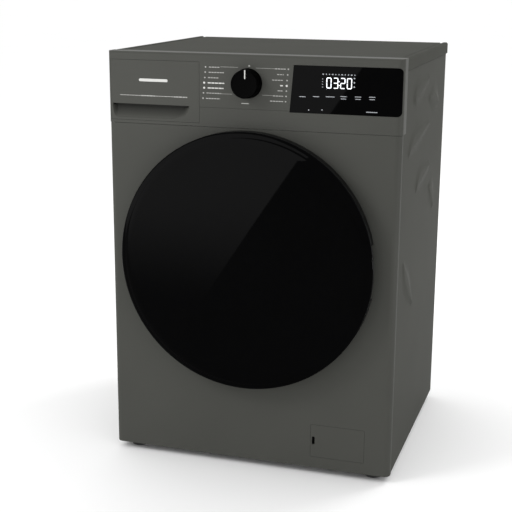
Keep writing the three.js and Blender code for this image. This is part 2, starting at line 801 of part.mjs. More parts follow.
// ---- tub ---------------------------------------------------------------------------

const heaterPlaces = [-HEATER_SPREAD, HEATER_SPREAD].map((turn) => ({
  x: HEATER_R * Math.sin(turn),
  z: -HEATER_R * Math.cos(turn),
}));

function tubFront() {
  const inner = TUB_R - TUB_WALL;
  const profile = [
    [TUB_LIP_R - 6, TUB_FRONT_Y - 12],
    [TUB_LIP_R, TUB_FRONT_Y - 12],
    [TUB_LIP_R, TUB_FRONT_Y],
    [TUB_R, TUB_FRONT_Y],
    [TUB_R, -6],
    [FLANGE_R, -6],
    [FLANGE_R, -GAP],
    [inner, -GAP],
    [inner, TUB_FRONT_Y + TUB_WALL],
    [TUB_LIP_R - 6, TUB_FRONT_Y + TUB_WALL],
  ];
  const outletR = 22;
  const [outletX, outletY] = [90, -110];
  const spigot = post(outletR, [-270, -235], MEDIUM).translate(outletX, outletY, 0);
  const inside = rod(inner, [outletY - 40, outletY + 50], ROUND);
  const outlet = cut(spigot, inside);
  const outletBore = post(outletR - 4, [-280, -225], MEDIUM).translate(outletX, outletY, 0);
  const heaterHoles = heaterPlaces.map(({ x, z }) =>
    rod(HEATER_TUBE_R + 2 * FIT, [TUB_FRONT_Y - 5, TUB_FRONT_Y + 8]).translate(x, 0, z),
  );
  return cut(joined(turned(profile), outlet), outletBore, ...heaterHoles);
}

function tubRear() {
  const inner = TUB_R - TUB_WALL;
  const wallY = TUB_REAR_Y - 5;
  const hubStartY = 178;
  const frontSeatY = BEARING_FRONT_SPAN[1] + GAP;
  const rearSeatY = BEARING_REAR_SPAN[0] - PLAY;
  const shoulderR = 20;
  const profile = [
    [FLANGE_R, 0],
    [FLANGE_R, 6],
    [TUB_R, 6],
    [TUB_R, TUB_REAR_Y],
    [HUB_R, TUB_REAR_Y],
    [HUB_R - 3, HUB_END_Y],
    [BEARING_REAR_R + FIT, HUB_END_Y],
    [BEARING_REAR_R + FIT, rearSeatY],
    [shoulderR, rearSeatY],
    [shoulderR, frontSeatY],
    [BEARING_FRONT_R + FIT, frontSeatY],
    [BEARING_FRONT_R + FIT, hubStartY],
    [HUB_R, hubStartY],
    [HUB_R, wallY],
    [inner, wallY],
    [inner, 0],
  ];
  const ribs = [0, 1, 2, 3, 4, 5].map((i) =>
    box([HUB_R - 4, TUB_R - 2], [TUB_REAR_Y - 1, TUB_REAR_Y + 15], [-2, 2]).rotateY((i * Math.PI) / 3),
  );
  const springLug = box(
    [215, SPRING_X + SPRING_R + 1],
    [SPRING_Y - 9, SPRING_Y + 9],
    [94, SPRING_LOW_Z - AXIS_Z - GAP],
  );
  const lugHalf = 10;
  const damperLug = box(
    [DAMPER_X - lugHalf, DAMPER_X + lugHalf],
    [DAMPER_Y - lugHalf, DAMPER_Y + lugHalf],
    [DAMPER_LUG_Z, DAMPER_LUG_Z + 28],
  );
  const rightLugs = [springLug, damperLug];
  const leftLugs = rightLugs.map((lug) => lug.clone().scale(-1, 1, 1));
  const outsideOnly = [...rightLugs, ...leftLugs].map((lug) =>
    cut(lug, rod(inner + 1, [0, 170], ROUND)),
  );
  return joined(turned(profile), ...ribs, ...outsideOnly);
}

function upperCounterweight() {
  const half = 150;
  const block = box([-half, half], [58, 172], [205, 332]);
  return cut(block, rod(TUB_R + GAP, [0, 200], ROUND));
}

function frontCounterweight() {
  const [y0, y1] = [-216, TUB_FRONT_Y - GAP];
  const [innerR, outerR] = [194, 246];
  const ring = turned([[innerR, y0], [outerR, y0], [outerR, y1], [innerR, y1]]);
  const bottomGap = box([-70, 70], [y0 - 1, y1 + 1], [-outerR - 14, -150]);
  return cut(ring, bottomGap);
}

function heater() {
  const legEnd = 90;
  const [left, right] = heaterPlaces;
  const start = TUB_FRONT_Y - 6;
  const legs = [left, right].map(({ x, z }) =>
    rod(HEATER_TUBE_R, [start, legEnd], 10).translate(x, 0, z),
  );
  const bend = box([left.x, right.x], [legEnd - 8, legEnd], [left.z - 3.4, left.z + 3.4]);
  const flange = box([-48, 48], [TUB_FRONT_Y - 8, TUB_FRONT_Y - GAP], [-252, -233]);
  return joined(flange, ...legs, bend);
}

function driveBelt() {
  const [y0, y1] = [PULLEY_Y + 1, PULLEY_Y + PULLEY_WIDE - 1];
  const dz = MOTOR_Z - AXIS_Z;
  const slack = 1.8; // keeps the loop's flats clear of the turning wheel
  const outer = plate(loopOutline(PULLEY_R + slack + 3, MOTOR_PULLEY_R + 4, 0, dz), [y0, y1]);
  const inner = plate(loopOutline(PULLEY_R + slack, MOTOR_PULLEY_R + 1, 0, dz), [y0 - 1, y1 + 1]);
  return cut(outer, inner);
}

function motorStator() {
  const [y0, y1] = [70, 205];
  const chamfer = 8;
  const profile = [
    [0, y0],
    [MOTOR_R - chamfer, y0],
    [MOTOR_R, y0 + chamfer],
    [MOTOR_R, y1 - chamfer],
    [MOTOR_R - chamfer, y1],
    [0, y1],
  ];
  const dz = MOTOR_Z - AXIS_Z;
  const ears = [-1, 1].map((side) =>
    box([side * 37 - 7, side * 37 + 7], [95, 180], [dz + 40, 1 - TUB_R - GAP]),
  );
  return joined(turned(profile, MEDIUM).translate(0, 0, dz), ...ears);
}

const bearing = (outerR, innerR, [y0, y1]) =>
  turned([[innerR, y0], [outerR, y0], [outerR, y1], [innerR, y1]], MEDIUM);

// ---- drum --------------------------------------------------------------------------

function drumShell() {
  const inner = DRUM_R - SHEET;
  const profile = [
    [0, DRUM_BACK_Y + SHEET],
    [DRUM_R, DRUM_BACK_Y + SHEET],
    [DRUM_R, DRUM_FRONT_Y + 12.5],
    [DRUM_R - 6, DRUM_FRONT_Y + 2.5],
    [DRUM_MOUTH_R, DRUM_FRONT_Y],
    [DRUM_MOUTH_R, DRUM_FRONT_Y + SHEET],
    [DRUM_R - 6.8, DRUM_FRONT_Y + 3.7],
    [inner, DRUM_FRONT_Y + 12.9],
    [inner, DRUM_BACK_Y],
    [0, DRUM_BACK_Y],
  ];
  return turned(profile);
}

function drumPaddle() {
  const [footX, footZ] = [34, -233.4];
  const [crestX, crestZ] = [11, -194];
  const [bendX, bendZ] = [16, -222];
  const fin = new THREE.Shape();
  fin.moveTo(-footX, footZ);
  fin.lineTo(footX, footZ);
  fin.quadraticCurveTo(bendX, bendZ, crestX, crestZ);
  fin.lineTo(-crestX, crestZ);
  fin.quadraticCurveTo(-bendX, bendZ, -footX, footZ);
  return plate(fin, [-150, 140], 3);
}

function drumSpider() {
  const [y0, y1] = [DRUM_BACK_Y + SHEET + GAP, 176];
  const armHalf = 19;
  const arms = [0, 1, 2].map((i) =>
    box([-armHalf, armHalf], [y0, y1 - 12], [-222, 0]).rotateY((i * 2 * Math.PI) / 3 + Math.PI),
  );
  const hub = rod(34, [y0, y1], MEDIUM);
  return cut(joined(hub, ...arms), rod(SHAFT_R + FIT, [SHAFT_START_Y - PLAY, y1 + 1], MEDIUM));
}

function drumShaft() {
  const stepY = 197;
  const endY = 243;
  const profile = [
    [0, SHAFT_START_Y],
    [SHAFT_R, SHAFT_START_Y],
    [SHAFT_R, stepY],
    [SHAFT_END_R, stepY],
    [SHAFT_END_R, endY],
    [0, endY],
  ];
  return turned(profile, MEDIUM);
}

function drumPulley() {
  const [y0, y1] = [PULLEY_Y, PULLEY_Y + PULLEY_WIDE];
  const bore = SHAFT_END_R + FIT;
  const profile = [
    [bore, y0],
    [PULLEY_R, y0],
    [PULLEY_R, y1],
    [PULLEY_R - 5, y1],
    [PULLEY_R - 7, y0 + 5],
    [24, y0 + 5],
    [22, y1],
    [bore, y1],
  ];
  const holes = [0, 1, 2, 3, 4, 5].map((i) =>
    rod(31, [y0 - 1, y1 + 1]).translate(82, 0, 0).rotateY((i * Math.PI) / 3),
  );
  return cut(turned(profile), ...holes);
}

function motorPulley() {
  const shaft = rod(7, [206, 243]);
  const wheel = rod(MOTOR_PULLEY_R, [PULLEY_Y, PULLEY_Y + PULLEY_WIDE], MEDIUM);
  return joined(shaft, wheel);
}

// ---- suspension and feet -----------------------------------------------------------

const springSleeve = () =>
  turnedUp([
    [SPRING_R - 4, SPRING_LOW_Z],
    [SPRING_R, SPRING_LOW_Z],
    [SPRING_R, SPRING_HIGH_Z],
    [SPRING_R - 4, SPRING_HIGH_Z],
  ], SMALL);

function damperTube() {
  const low = FLOOR_Z;
  const innerR = DAMPER_TUBE_R - 3;
  return turnedUp([
    [0, low],
    [DAMPER_TUBE_R, low],
    [DAMPER_TUBE_R, DAMPER_TUBE_TOP],
    [innerR, DAMPER_TUBE_TOP],
    [innerR, low + 8],
    [0, low + 8],
  ]);
}

// The piston runs in the tube with 0.6 mm to spare.
function damperRod() {
  const pistonR = DAMPER_TUBE_R - 3.6;
  const [pistonLow, pistonHigh] = [60, 80];
  const rodR = 6;
  const headR = 10;
  const top = AXIS_Z + DAMPER_LUG_Z - GAP;
  return turnedUp([
    [0, pistonLow],
    [pistonR, pistonLow],
    [pistonR, pistonHigh],
    [rodR, pistonHigh],
    [rodR, top - 17.6],
    [headR, top - 15.6],
    [headR, top],
    [0, top],
  ]);
}

function gasketProfile() {
  const centreline = [
    [163.8, FRONT_Y + 15],
    [170, FRONT_Y + 7],
    [200, FRONT_Y + 5],
    [201.2, FRONT_Y + 20],
    [187, FRONT_Y + 33],
    [180.6, FRONT_Y + 42],
    [180.6, TUB_FRONT_Y - 0.5],
  ];
  return thickened(centreline, 3.2);
}

function foot() {
  const padR = 20;
  const stemTop = 62;
  return turnedUp([[0, 0], [padR, 0], [padR, 8], [STEM_R, 10], [STEM_R, stemTop], [0, stemTop]], 16);
}

// ---- assembly ----------------------------------------------------------------------

const group = new THREE.Group();

piece("left_side_panel", sidePanel(-1), body(), group);
piece("right_side_panel", sidePanel(1), body(), group);
piece("rear_panel", rearPanel(), aluminium(), group);
piece("rear_access_cover", rearAccessCover(), aluminium(), group);
piece("top_cover", topCover(), body(), group);
piece("front_panel", frontPanel(), body(), group);
piece("control_fascia", controlFascia(), body(), group);
piece("display_window", displayWindow(), blackGloss(), group);
piece("base_tray", baseTray(), darkPlastic(), group);
piece("front_crossbeam", frontCrossbeam(), aluminium(), group);
piece("dispenser_housing", dispenserHousing(), whitePlastic(), group);
piece("motor_controller", motorController(), darkPlastic(), group);
piece("inlet_valve", inletValve(), whitePlastic(), groupAt(VALVE_X, 0, VALVE_Z, group));
piece("drain_outlet", drainOutlet(), darkPlastic(), groupAt(DRAIN_X, 0, DRAIN_Z, group));
piece("mains_inlet_gland", mainsInletGland(), darkPlastic(), groupAt(MAINS_X, 0, MAINS_Z, group));

const pumpGroup = groupAt(PUMP_X, 0, PUMP_Z, group);
piece("drain_pump", drainPump(), whitePlastic(), pumpGroup);
piece("filter_cap", filterCap(), greyPlastic(), pumpGroup);
piece("pump_impeller", pumpImpeller(), greyPlastic(), pumpGroup);

const flapGroup = groupAt(FLAP.right, FRONT_Y, 0, group);
piece("filter_flap", filterFlap(), body(), flapGroup);

const drawerGroup = groupAt(0, 0, 0, group);
piece("drawer_front", drawerFront(), body(), drawerGroup);
piece("drawer_tray", drawerTray(), whitePlastic(), drawerGroup);
piece("siphon_cap", siphonCap(), greyPlastic(), drawerGroup);
piece("programme_knob", programmeKnob(), blackGloss(), groupAt(KNOB_X, 0, KNOB_Z, group));

const axisGroup = groupAt(0, 0, AXIS_Z, group);
const frontBearing = bearing(BEARING_FRONT_R, SHAFT_R + FIT, BEARING_FRONT_SPAN);
const rearBearing = bearing(BEARING_REAR_R, SHAFT_END_R + FIT, BEARING_REAR_SPAN);
piece("door_lock", doorLock(), whitePlastic(), axisGroup);
piece("door_hinge_plate", doorHingePlate(), steel(), axisGroup);
piece("door_gasket", turned(gasketProfile(), SOFT), rubber(), axisGroup);

piece("door_cover", doorCover(), blackGloss(), axisGroup);
piece("door_outer_frame", doorOuterFrame(), darkPlastic(), axisGroup);
piece("door_inner_frame", doorInnerFrame(), darkPlastic(), axisGroup);
piece("door_glass_bowl", doorGlassBowl(), clearGlass(), axisGroup);
piece("door_hinge_arm", doorHingeArm(), steel(), axisGroup);
piece("door_handle", doorHandle(), darkPlastic(), axisGroup);
piece("door_hook", doorHook(), steel(), axisGroup);

piece("tub_front", tubFront(), greyPlastic(), axisGroup);
piece("tub_rear", tubRear(), greyPlastic(), axisGroup);
piece("upper_counterweight", upperCounterweight(), concrete(), axisGroup);
piece("front_counterweight", frontCounterweight(), concrete(), axisGroup);
piece("heater", heater(), steel(), axisGroup);
piece("bearing_front", frontBearing, steel(), axisGroup);
piece("bearing_rear", rearBearing, steel(), axisGroup);
piece("motor_stator", motorStator(), castIron(), axisGroup);
piece("drive_belt", driveBelt(), blackRubber(), axisGroup);
piece("motor_pulley", motorPulley(), steel(), groupAt(0, 0, MOTOR_Z, group));

piece("drum_shell", drumShell(), steel(), axisGroup);
piece("drum_spider", drumSpider(), aluminium(), axisGroup);
piece("drum_shaft", drumShaft(), steel(), axisGroup);
piece("drum_pulley", drumPulley(), aluminium(), axisGroup);
for (let i = 0; i < 3; i += 1) {
  const paddle = piece(`drum_paddle_${i + 1}`, drumPaddle(), greyPlastic(), axisGroup);
  paddle.rotation.y = (i * 2 * Math.PI) / 3;
}

for (const [side, word] of [[-1, "left"], [1, "right"]]) {
  const springGroup = groupAt(side * SPRING_X, SPRING_Y, 0, group);
  piece(`spring_${word}`, springSleeve(), steel(), springGroup);
  const damperGroup = groupAt(side * DAMPER_X, DAMPER_Y, 0, group);
  piece(`damper_tube_${word}`, damperTube(), castIron(), damperGroup);
  piece(`damper_rod_${word}`, damperRod(), steel(), damperGroup);
}

for (const { name, x, y } of footPlaces) {
  piece(name, foot(), blackRubber(), groupAt(x, y, 0, group));
}

export default group;
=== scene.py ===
"""Looks for the front load washing machine, in metres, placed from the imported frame."""
import itertools
import json
import math

import bmesh
import bpy
import numpy as np
from mathutils import Matrix, Vector


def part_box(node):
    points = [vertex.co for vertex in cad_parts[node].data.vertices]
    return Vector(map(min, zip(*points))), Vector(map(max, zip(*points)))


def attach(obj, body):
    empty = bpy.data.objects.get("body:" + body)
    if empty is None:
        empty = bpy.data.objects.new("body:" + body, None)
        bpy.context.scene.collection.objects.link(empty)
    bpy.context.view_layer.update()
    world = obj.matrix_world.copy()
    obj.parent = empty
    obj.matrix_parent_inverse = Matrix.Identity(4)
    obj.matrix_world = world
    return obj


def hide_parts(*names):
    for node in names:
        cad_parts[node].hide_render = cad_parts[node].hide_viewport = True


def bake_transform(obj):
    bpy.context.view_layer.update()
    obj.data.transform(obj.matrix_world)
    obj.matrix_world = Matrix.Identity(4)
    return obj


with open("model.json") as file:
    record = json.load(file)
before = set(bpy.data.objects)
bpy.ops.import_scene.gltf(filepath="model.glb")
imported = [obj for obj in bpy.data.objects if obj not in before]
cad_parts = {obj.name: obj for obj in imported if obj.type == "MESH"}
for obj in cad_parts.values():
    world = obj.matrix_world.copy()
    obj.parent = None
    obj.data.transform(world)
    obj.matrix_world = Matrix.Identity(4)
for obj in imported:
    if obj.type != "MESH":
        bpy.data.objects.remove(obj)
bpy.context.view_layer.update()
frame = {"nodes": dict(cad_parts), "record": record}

MM = 0.001
TAU = 2 * math.pi
scene = bpy.context.scene

# ---- places read from the frame -----------------------------------------------------

PANEL_LOW, PANEL_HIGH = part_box("front_panel")
FASCIA_LOW, FASCIA_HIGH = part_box("control_fascia")
TOP_LOW, TOP_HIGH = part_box("top_cover")
COVER_LOW, COVER_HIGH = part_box("door_cover")
REAR_LOW, REAR_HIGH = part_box("rear_panel")
FRONT = PANEL_LOW.y
AXIS_Z = (COVER_LOW.z + COVER_HIGH.z) / 2
DOOR_R = COVER_HIGH.x
CORNER_R = 13 * MM
SHEET = 1.2 * MM
WALL = 2.2 * MM  # the fascia's moulding
PAST = 0.01  # how far a cutting tool runs past the face it opens
DOOR_CENTER = (0, AXIS_Z)
OPENING_R = 204.4 * MM  # the hole in the front panel and in the door's outer ring
EAR_HEIGHTS = (AXIS_Z - 48.5 * MM, AXIS_Z + 48.5 * MM)  # of the hinge's two ears
INLET_DROP = 18 * MM  # from the top of the inlet valve to its thread's axis


# ---- mesh helpers -------------------------------------------------------------------

def raw_object(name, verts, faces):
    mesh = bpy.data.meshes.new(name)
    mesh.from_pydata([tuple(v) for v in verts], [], faces)
    obj = bpy.data.objects.new(name, mesh)
    scene.collection.objects.link(obj)
    return obj


def bake(obj):
    """Applies an object's modifiers and leaves one plain mesh."""
    bpy.context.view_layer.update()
    depsgraph = bpy.context.evaluated_depsgraph_get()
    done = bpy.data.meshes.new_from_object(obj.evaluated_get(depsgraph))
    old = obj.data
    obj.modifiers.clear()
    obj.data = done
    bpy.data.meshes.remove(old)
    return obj


def outward(obj, merge=1e-6):
    bm = bmesh.new()
    bm.from_mesh(obj.data)
    bmesh.ops.remove_doubles(bm, verts=bm.verts, dist=merge)
    bmesh.ops.recalc_face_normals(bm, faces=bm.faces)
    bm.to_mesh(obj.data)
    bm.free()
    return obj


def drop_thin_faces(obj):
    """Dissolves faces of no area, unless that would open the surface."""
    bm = bmesh.new()
    bm.from_mesh(obj.data)
    bmesh.ops.dissolve_degenerate(bm, dist=2e-6, edges=bm.edges)
    if all(edge.is_manifold for edge in bm.edges):
        bm.to_mesh(obj.data)
    bm.free()


def smooth(obj, angle=38):
    """Shades smooth, and keeps the edges that are sharper than the angle."""
    obj.data.shade_smooth()
    obj.data.set_sharp_from_angle(angle=math.radians(angle))
    return obj


def soften(obj, width, segments=2, angle=40):
    """Rounds the hard edges, then shades smooth with the flats kept flat."""
    mod = obj.modifiers.new("round", "BEVEL")
    mod.width = width
    mod.segments = segments
    mod.limit_method = "ANGLE"
    mod.angle_limit = math.radians(angle)
    mod.use_clamp_overlap = True
    mod.miter_outer = "MITER_ARC"
    bake(obj)
    drop_thin_faces(obj)
    smooth(obj, angle)
    mod = obj.modifiers.new("flats", "WEIGHTED_NORMAL")
    mod.keep_sharp = True
    mod.weight = 80
    return bake(obj)


def boolean(obj, tools, operation="DIFFERENCE"):
    for tool in tools:
        mod = obj.modifiers.new("boolean", "BOOLEAN")
        mod.operation = operation
        mod.solver = "EXACT"
        mod.object = tool
        bake(obj)
        bpy.data.objects.remove(tool)
    return obj


def box_object(low, high):
    (x0, y0, z0), (x1, y1, z1) = low, high
    verts = [(x, y, z) for x in (x0, x1) for y in (y0, y1) for z in (z0, z1)]
    faces = [(0, 1, 3, 2), (4, 6, 7, 5), (0, 4, 5, 1), (2, 3, 7, 6), (0, 2, 6, 4), (1, 5, 7, 3)]
    return outward(raw_object("box", verts, faces))


def lathe(profile, facets=96, center=(0, 0), closed=True, axis="Y"):
    """Turns (radius, place) points about an axis through center. Radius 0 is a pole.

    closed joins the last point to the first, for a ring."""
    verts, rings = [], []
    for r, a in profile:
        if r < 1e-7:
            rings.append([len(verts)] * facets)
            verts.append((0, a, 0))
            continue
        rings.append(list(range(len(verts), len(verts) + facets)))
        verts += [(x, a, z) for x, z in dot_loop(0, 0, r, facets)]
    faces = []
    for lower, upper in zip(rings, rings[1:] + rings[:1] if closed else rings[1:]):
        for k in range(facets):
            n = (k + 1) % facets
            unique = list(dict.fromkeys([lower[k], lower[n], upper[n], upper[k]]))
            if len(unique) > 2:
                faces.append(tuple(unique))
    u, v = center
    if axis == "Z":
        verts = [(x + u, z + v, a) for x, a, z in verts]
    else:
        verts = [(x + u, a, z + v) for x, a, z in verts]
    return outward(raw_object("turned", verts, faces))


def drill(r, reach, center, facets=40):
    """A round cutting tool along Y."""
    start, end = reach
    return lathe([(0, start), (r, start), (r, end), (0, end)], facets, center, closed=False)


def in_mm(points, start=0.0):
    """Brings (radius, place) points in mm to metres, with places counted from start."""
    return [(r * MM, start + a * MM) for r, a in points]


def arc(cx, cy, r, start, end, steps=8):
    """Points round a corner, from start to end degrees."""
    return [
        (cx + r * math.cos(math.radians(start + (end - start) * k / steps)),
         cy + r * math.sin(math.radians(start + (end - start) * k / steps)))
        for k in range(steps + 1)
    ]


def rounded_rect(x0, x1, z0, z1, r, steps=6):
    return (arc(x1 - r, z0 + r, r, -90, 0, steps) + arc(x1 - r, z1 - r, r, 0, 90, steps)
            + arc(x0 + r, z1 - r, r, 90, 180, steps) + arc(x0 + r, z0 + r, r, 180, 270, steps))


def node_rect(node, grow, r, steps=6):
    """A node's outline seen from the front, grown all round."""
    low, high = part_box(node)
    return rounded_rect(low.x - grow, high.x + grow, low.z - grow, high.z + grow, r, steps)


def bar_loop(x0, x1, z, tall):
    return [(x0, z - tall / 2), (x1, z - tall / 2), (x1, z + tall / 2), (x0, z + tall / 2)]


def dot_loop(x, z, r, sides=12):
    turns = [TAU * k / sides for k in range(sides)]
    return [(x + r * math.cos(t), z + r * math.sin(t)) for t in turns]


def extruded(loop, a0, a1, axis="Y"):
    """A flat outline given thickness along an axis. The outline is (x, z), (x, y) or (y, z)."""
    at = {
        "Y": lambda u, v, a: (u, a, v),
        "Z": lambda u, v, a: (u, v, a),
        "X": lambda u, v, a: (a, u, v),
    }[axis]
    n = len(loop)
    verts = [at(u, v, a) for a in (a0, a1) for u, v in loop]
    faces = [tuple(range(n)), tuple(range(2 * n - 1, n - 1, -1))]
    faces += [(k, (k + 1) % n, n + (k + 1) % n, n + k) for k in range(n)]
    return outward(raw_object("extruded", verts, faces))


def thick_grid(first, second, rows, columns):
    """Two grids of points, listed row by row, made into one sheet that is closed at its edges."""
    count = rows * columns
    faces = []
    for i in range(rows - 1):
        for j in range(columns - 1):
            a = i * columns + j
            quad = (a, a + columns, a + columns + 1, a + 1)
            faces += [quad, tuple(count + corner for corner in reversed(quad))]
    last = (rows - 1) * columns
    ring = [i * columns for i in range(rows)] + [last + j for j in range(1, columns)]
    ring += [i * columns + columns - 1 for i in range(rows - 2, -1, -1)]
    ring += list(range(columns - 2, 0, -1))
    faces += [(a, b, count + b, count + a) for a, b in zip(ring, ring[1:] + ring[:1])]
    return outward(raw_object("sheet", first + second, faces))


def joined(objs):
    """Puts several meshes into the first object, as separate shells."""
    bm = bmesh.new()
    for obj in objs:
        bm.from_mesh(obj.data)
    bm.to_mesh(objs[0].data)
    bm.free()
    for obj in objs[1:]:
        bpy.data.objects.remove(obj)
    return objs[0]


def box_and_middle(node):
    low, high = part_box(node)
    return low, high, (low + high) / 2


def place(obj, name, material, body, replaces=()):
    """Names a finished piece, gives it its material, and ties it to the frame."""
    obj.name = name
    obj.data.name = name
    obj.data.materials.clear()
    obj.data.materials.append(material)
    if replaces:
        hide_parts(*replaces)
    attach(obj, body)
    return obj


BODY_OF = {
    node: body
    for body, members in frame["record"]["behaviour"]["bodies"].items()
    for node in members
}


def piece_for(obj, node, name, material):
    """Places a piece that stands for one node, on that node's body, and hides the node."""
    return place(obj, name, material, BODY_OF[node], [node])


def finished_copy(node, material, width, segments=2, angle=38):
    """The node's own shape with its hard edges rounded and its turned faces shaded smooth."""
    obj = bpy.data.objects.new(node + "_finished", frame["nodes"][node].data.copy())
    scene.collection.objects.link(obj)
    outward(obj, 1e-5)
    bm = bmesh.new()
    bm.from_mesh(obj.data)
    bmesh.ops.dissolve_limit(bm, angle_limit=math.radians(0.6), verts=bm.verts, edges=bm.edges)
    # a face with a slit in it would fold over itself when its edges are rounded
    bmesh.ops.triangulate(bm, faces=[face for face in bm.faces if len(face.verts) > 4])
    bm.to_mesh(obj.data)
    bm.free()
    soften(obj, width, segments, angle)
    return piece_for(obj, node, node + "_finished", material)


# ---- materials ----------------------------------------------------------------------

def set_inputs(tree, node, inputs):
    """Gives each input a constant, or a link from the output that feeds it."""
    for key, value in inputs.items():
        if isinstance(value, bpy.types.NodeSocket):
            tree.links.new(value, node.inputs[key])
        else:
            node.inputs[key].default_value = value


def add_node(tree, kind, inputs=(), **settings):
    node = tree.nodes.new(kind)
    for key, value in settings.items():
        setattr(node, key, value)
    set_inputs(tree, node, dict(inputs))
    return node


def add_math(tree, operation, *values):
    inputs = dict(enumerate(values))
    return add_node(tree, "ShaderNodeMath", inputs, operation=operation).outputs[0]


def new_material(name):
    material = bpy.data.materials.new(name)
    material.use_nodes = True
    tree = material.node_tree
    coords = add_node(tree, "ShaderNodeTexCoord").outputs["Object"]
    return material, tree, coords, tree.nodes["Principled BSDF"]


def add_noise(tree, coords, scale, detail=3.0, stretch=None):
    if stretch:
        mapping = add_node(tree, "ShaderNodeMapping", {"Scale": stretch, "Vector": coords})
        coords = mapping.outputs["Vector"]
    inputs = {"Scale": scale, "Detail": detail, "Vector": coords}
    return add_node(tree, "ShaderNodeTexNoise", inputs).outputs["Fac"]


def ramp(tree, value, *stops):
    """Two colours, each with its position on the ramp."""
    node = add_node(tree, "ShaderNodeValToRGB", {"Fac": value})
    for element, (position, color) in zip(node.color_ramp.elements, stops):
        element.position = position
        element.color = (*color, 1)
    return node.outputs["Color"]


def spread(tree, value, low, high, start=0.0, end=1.0):
    """Maps start to end onto low to high."""
    inputs = {"Value": value, "From Min": start, "From Max": end, "To Min": low, "To Max": high}
    return add_node(tree, "ShaderNodeMapRange", inputs).outputs["Result"]


def add_relief(tree, height, strength, distance):
    inputs = {"Strength": strength, "Distance": distance, "Height": height}
    return add_node(tree, "ShaderNodeBump", inputs).outputs["Normal"]


def surface(name, color, roughness, metallic=0.0, vary=0.06, grain=900.0, bump=0.02,
            rough_vary=0.05, stretch=None, specular=0.5, sunk=None):
    """A painted, moulded or metal surface: tone, gloss and fine relief all vary a little.

    sunk is (y where the painted shade starts, y where it ends, darkest share): a pocket's floor
    painted darker with depth, standing in for the shade under its lip."""
    material, tree, coords, shader = new_material(name)
    broad = add_noise(tree, coords, 7.0, 2.0)
    fine = add_noise(tree, coords, grain, 2.0, stretch)
    mixed = add_math(tree, "MULTIPLY_ADD", fine, 0.5, add_math(tree, "MULTIPLY", broad, 0.5))
    dark = [c * (1 - vary) for c in color]
    light = [min(1, c * (1 + vary)) for c in color]
    tone = ramp(tree, mixed, (0.3, dark), (0.7, light))
    # painted shade: the tone darkens with depth into the pocket, in place of the shadow under the
    # lip
    if sunk:
        start, end, darkest = sunk
        split = add_node(tree, "ShaderNodeSeparateXYZ", {"Vector": coords})
        share = spread(tree, split.outputs["Y"], 1.0, darkest, start, end)
        shade = add_node(tree, "ShaderNodeVectorMath", {0: tone, "Scale": share}, operation="SCALE")
        tone = shade.outputs["Vector"]
    set_inputs(tree, shader, {
        "Base Color": tone,
        "Roughness": spread(tree, fine, roughness - rough_vary, roughness + rough_vary),
        "Normal": add_relief(tree, fine, bump, 0.0004),
        "Metallic": metallic,
        "Specular IOR Level": specular,
    })
    return material


def glowing(name, color, strength):
    material, tree, coords, shader = new_material(name)
    fine = add_noise(tree, coords, 900.0)
    tone = ramp(tree, fine, (0.2, [c * 0.9 for c in color]), (0.8, color))
    set_inputs(tree, shader, {"Emission Color": tone, "Base Color": tone,
                              "Emission Strength": strength, "Roughness": 0.4})
    return material


def bowl_glass():
    material, tree, coords, shader = new_material("bowl_glass")
    wave = add_noise(tree, coords, 9.0, 1.0)
    set_inputs(tree, shader, {
        "Base Color": ramp(tree, wave, (0.2, (0.86, 0.92, 0.92)), (0.8, (0.93, 0.96, 0.96))),
        "Normal": add_relief(tree, wave, 0.15, 0.001),
        "Roughness": 0.03,
        "Transmission Weight": 1.0,
        "IOR": 1.47,
    })
    return material


def enamel(name, roughness, **finish):
    """One of the cabinet's dark finishes."""
    return surface(name, (0.0598, 0.0607, 0.0546), roughness, vary=0.05, **finish)


paint = enamel("anthracite_paint", 0.5, grain=1500, bump=0.05, specular=0.03)
# the top and the sides are seen at a slant, where a stronger sheen would wash them out
lid_paint = enamel("anthracite_lid", 0.55, grain=1500, bump=0.05, specular=0.0011)
side_paint = enamel("anthracite_side", 0.26, grain=1500, bump=0.02, specular=0.0005,
                    rough_vary=0.02)
fascia_paint = enamel("anthracite_moulding", 0.42, grain=1900, bump=0.03, specular=0.03)
# the drawer's moulding carries painted shade that darkens its finger pocket deeper in
drawer_paint_with_shade = enamel("anthracite_drawer_painted_shade", 0.42, grain=1900, bump=0.03, specular=0.03,
                      sunk=(FRONT + 2 * MM, FRONT + 11 * MM, 0.32))
gloss_black = surface("gloss_black", (0.0008, 0.0008, 0.0009), 0.03, vary=0.2, grain=60,
                      bump=0.0, rough_vary=0.01, specular=0.016)
knob_black = surface("knob_black", (0.0009, 0.0009, 0.0009), 0.3, vary=0.15, grain=1200,
                     rough_vary=0.04, specular=0.005)
rim_black = surface("rim_black", (0.004, 0.004, 0.0042), 0.36, vary=0.12, grain=1600,
                    bump=0.08, specular=0.1)
black_plastic = surface("black_plastic", (0.007, 0.007, 0.0075), 0.38, vary=0.12, grain=1600,
                        bump=0.1, specular=0.35)
pump_black = surface("pump_black", (0.018, 0.018, 0.019), 0.5, vary=0.15, bump=0.15)
grey_plastic = surface("grey_plastic", (0.30, 0.31, 0.32), 0.5, vary=0.05, grain=700, bump=0.12)
white_plastic = surface("white_plastic", (0.66, 0.67, 0.66), 0.42, vary=0.03, bump=0.06)
stainless = surface("stainless", (0.58, 0.58, 0.57), 0.3, metallic=1.0, grain=160, bump=0.08,
                    rough_vary=0.09, stretch=(9.0, 0.35, 9.0))
zinc = surface("zinc_plate", (0.42, 0.43, 0.44), 0.4, metallic=0.9, vary=0.14, grain=55,
               bump=0.04, rough_vary=0.1)
bright_steel = surface("bright_steel", (0.55, 0.55, 0.56), 0.26, metallic=1.0, grain=400,
                       bump=0.05)
cast_aluminium = surface("cast_aluminium", (0.50, 0.51, 0.52), 0.46, metallic=0.95, vary=0.1,
                         grain=420, bump=0.3)
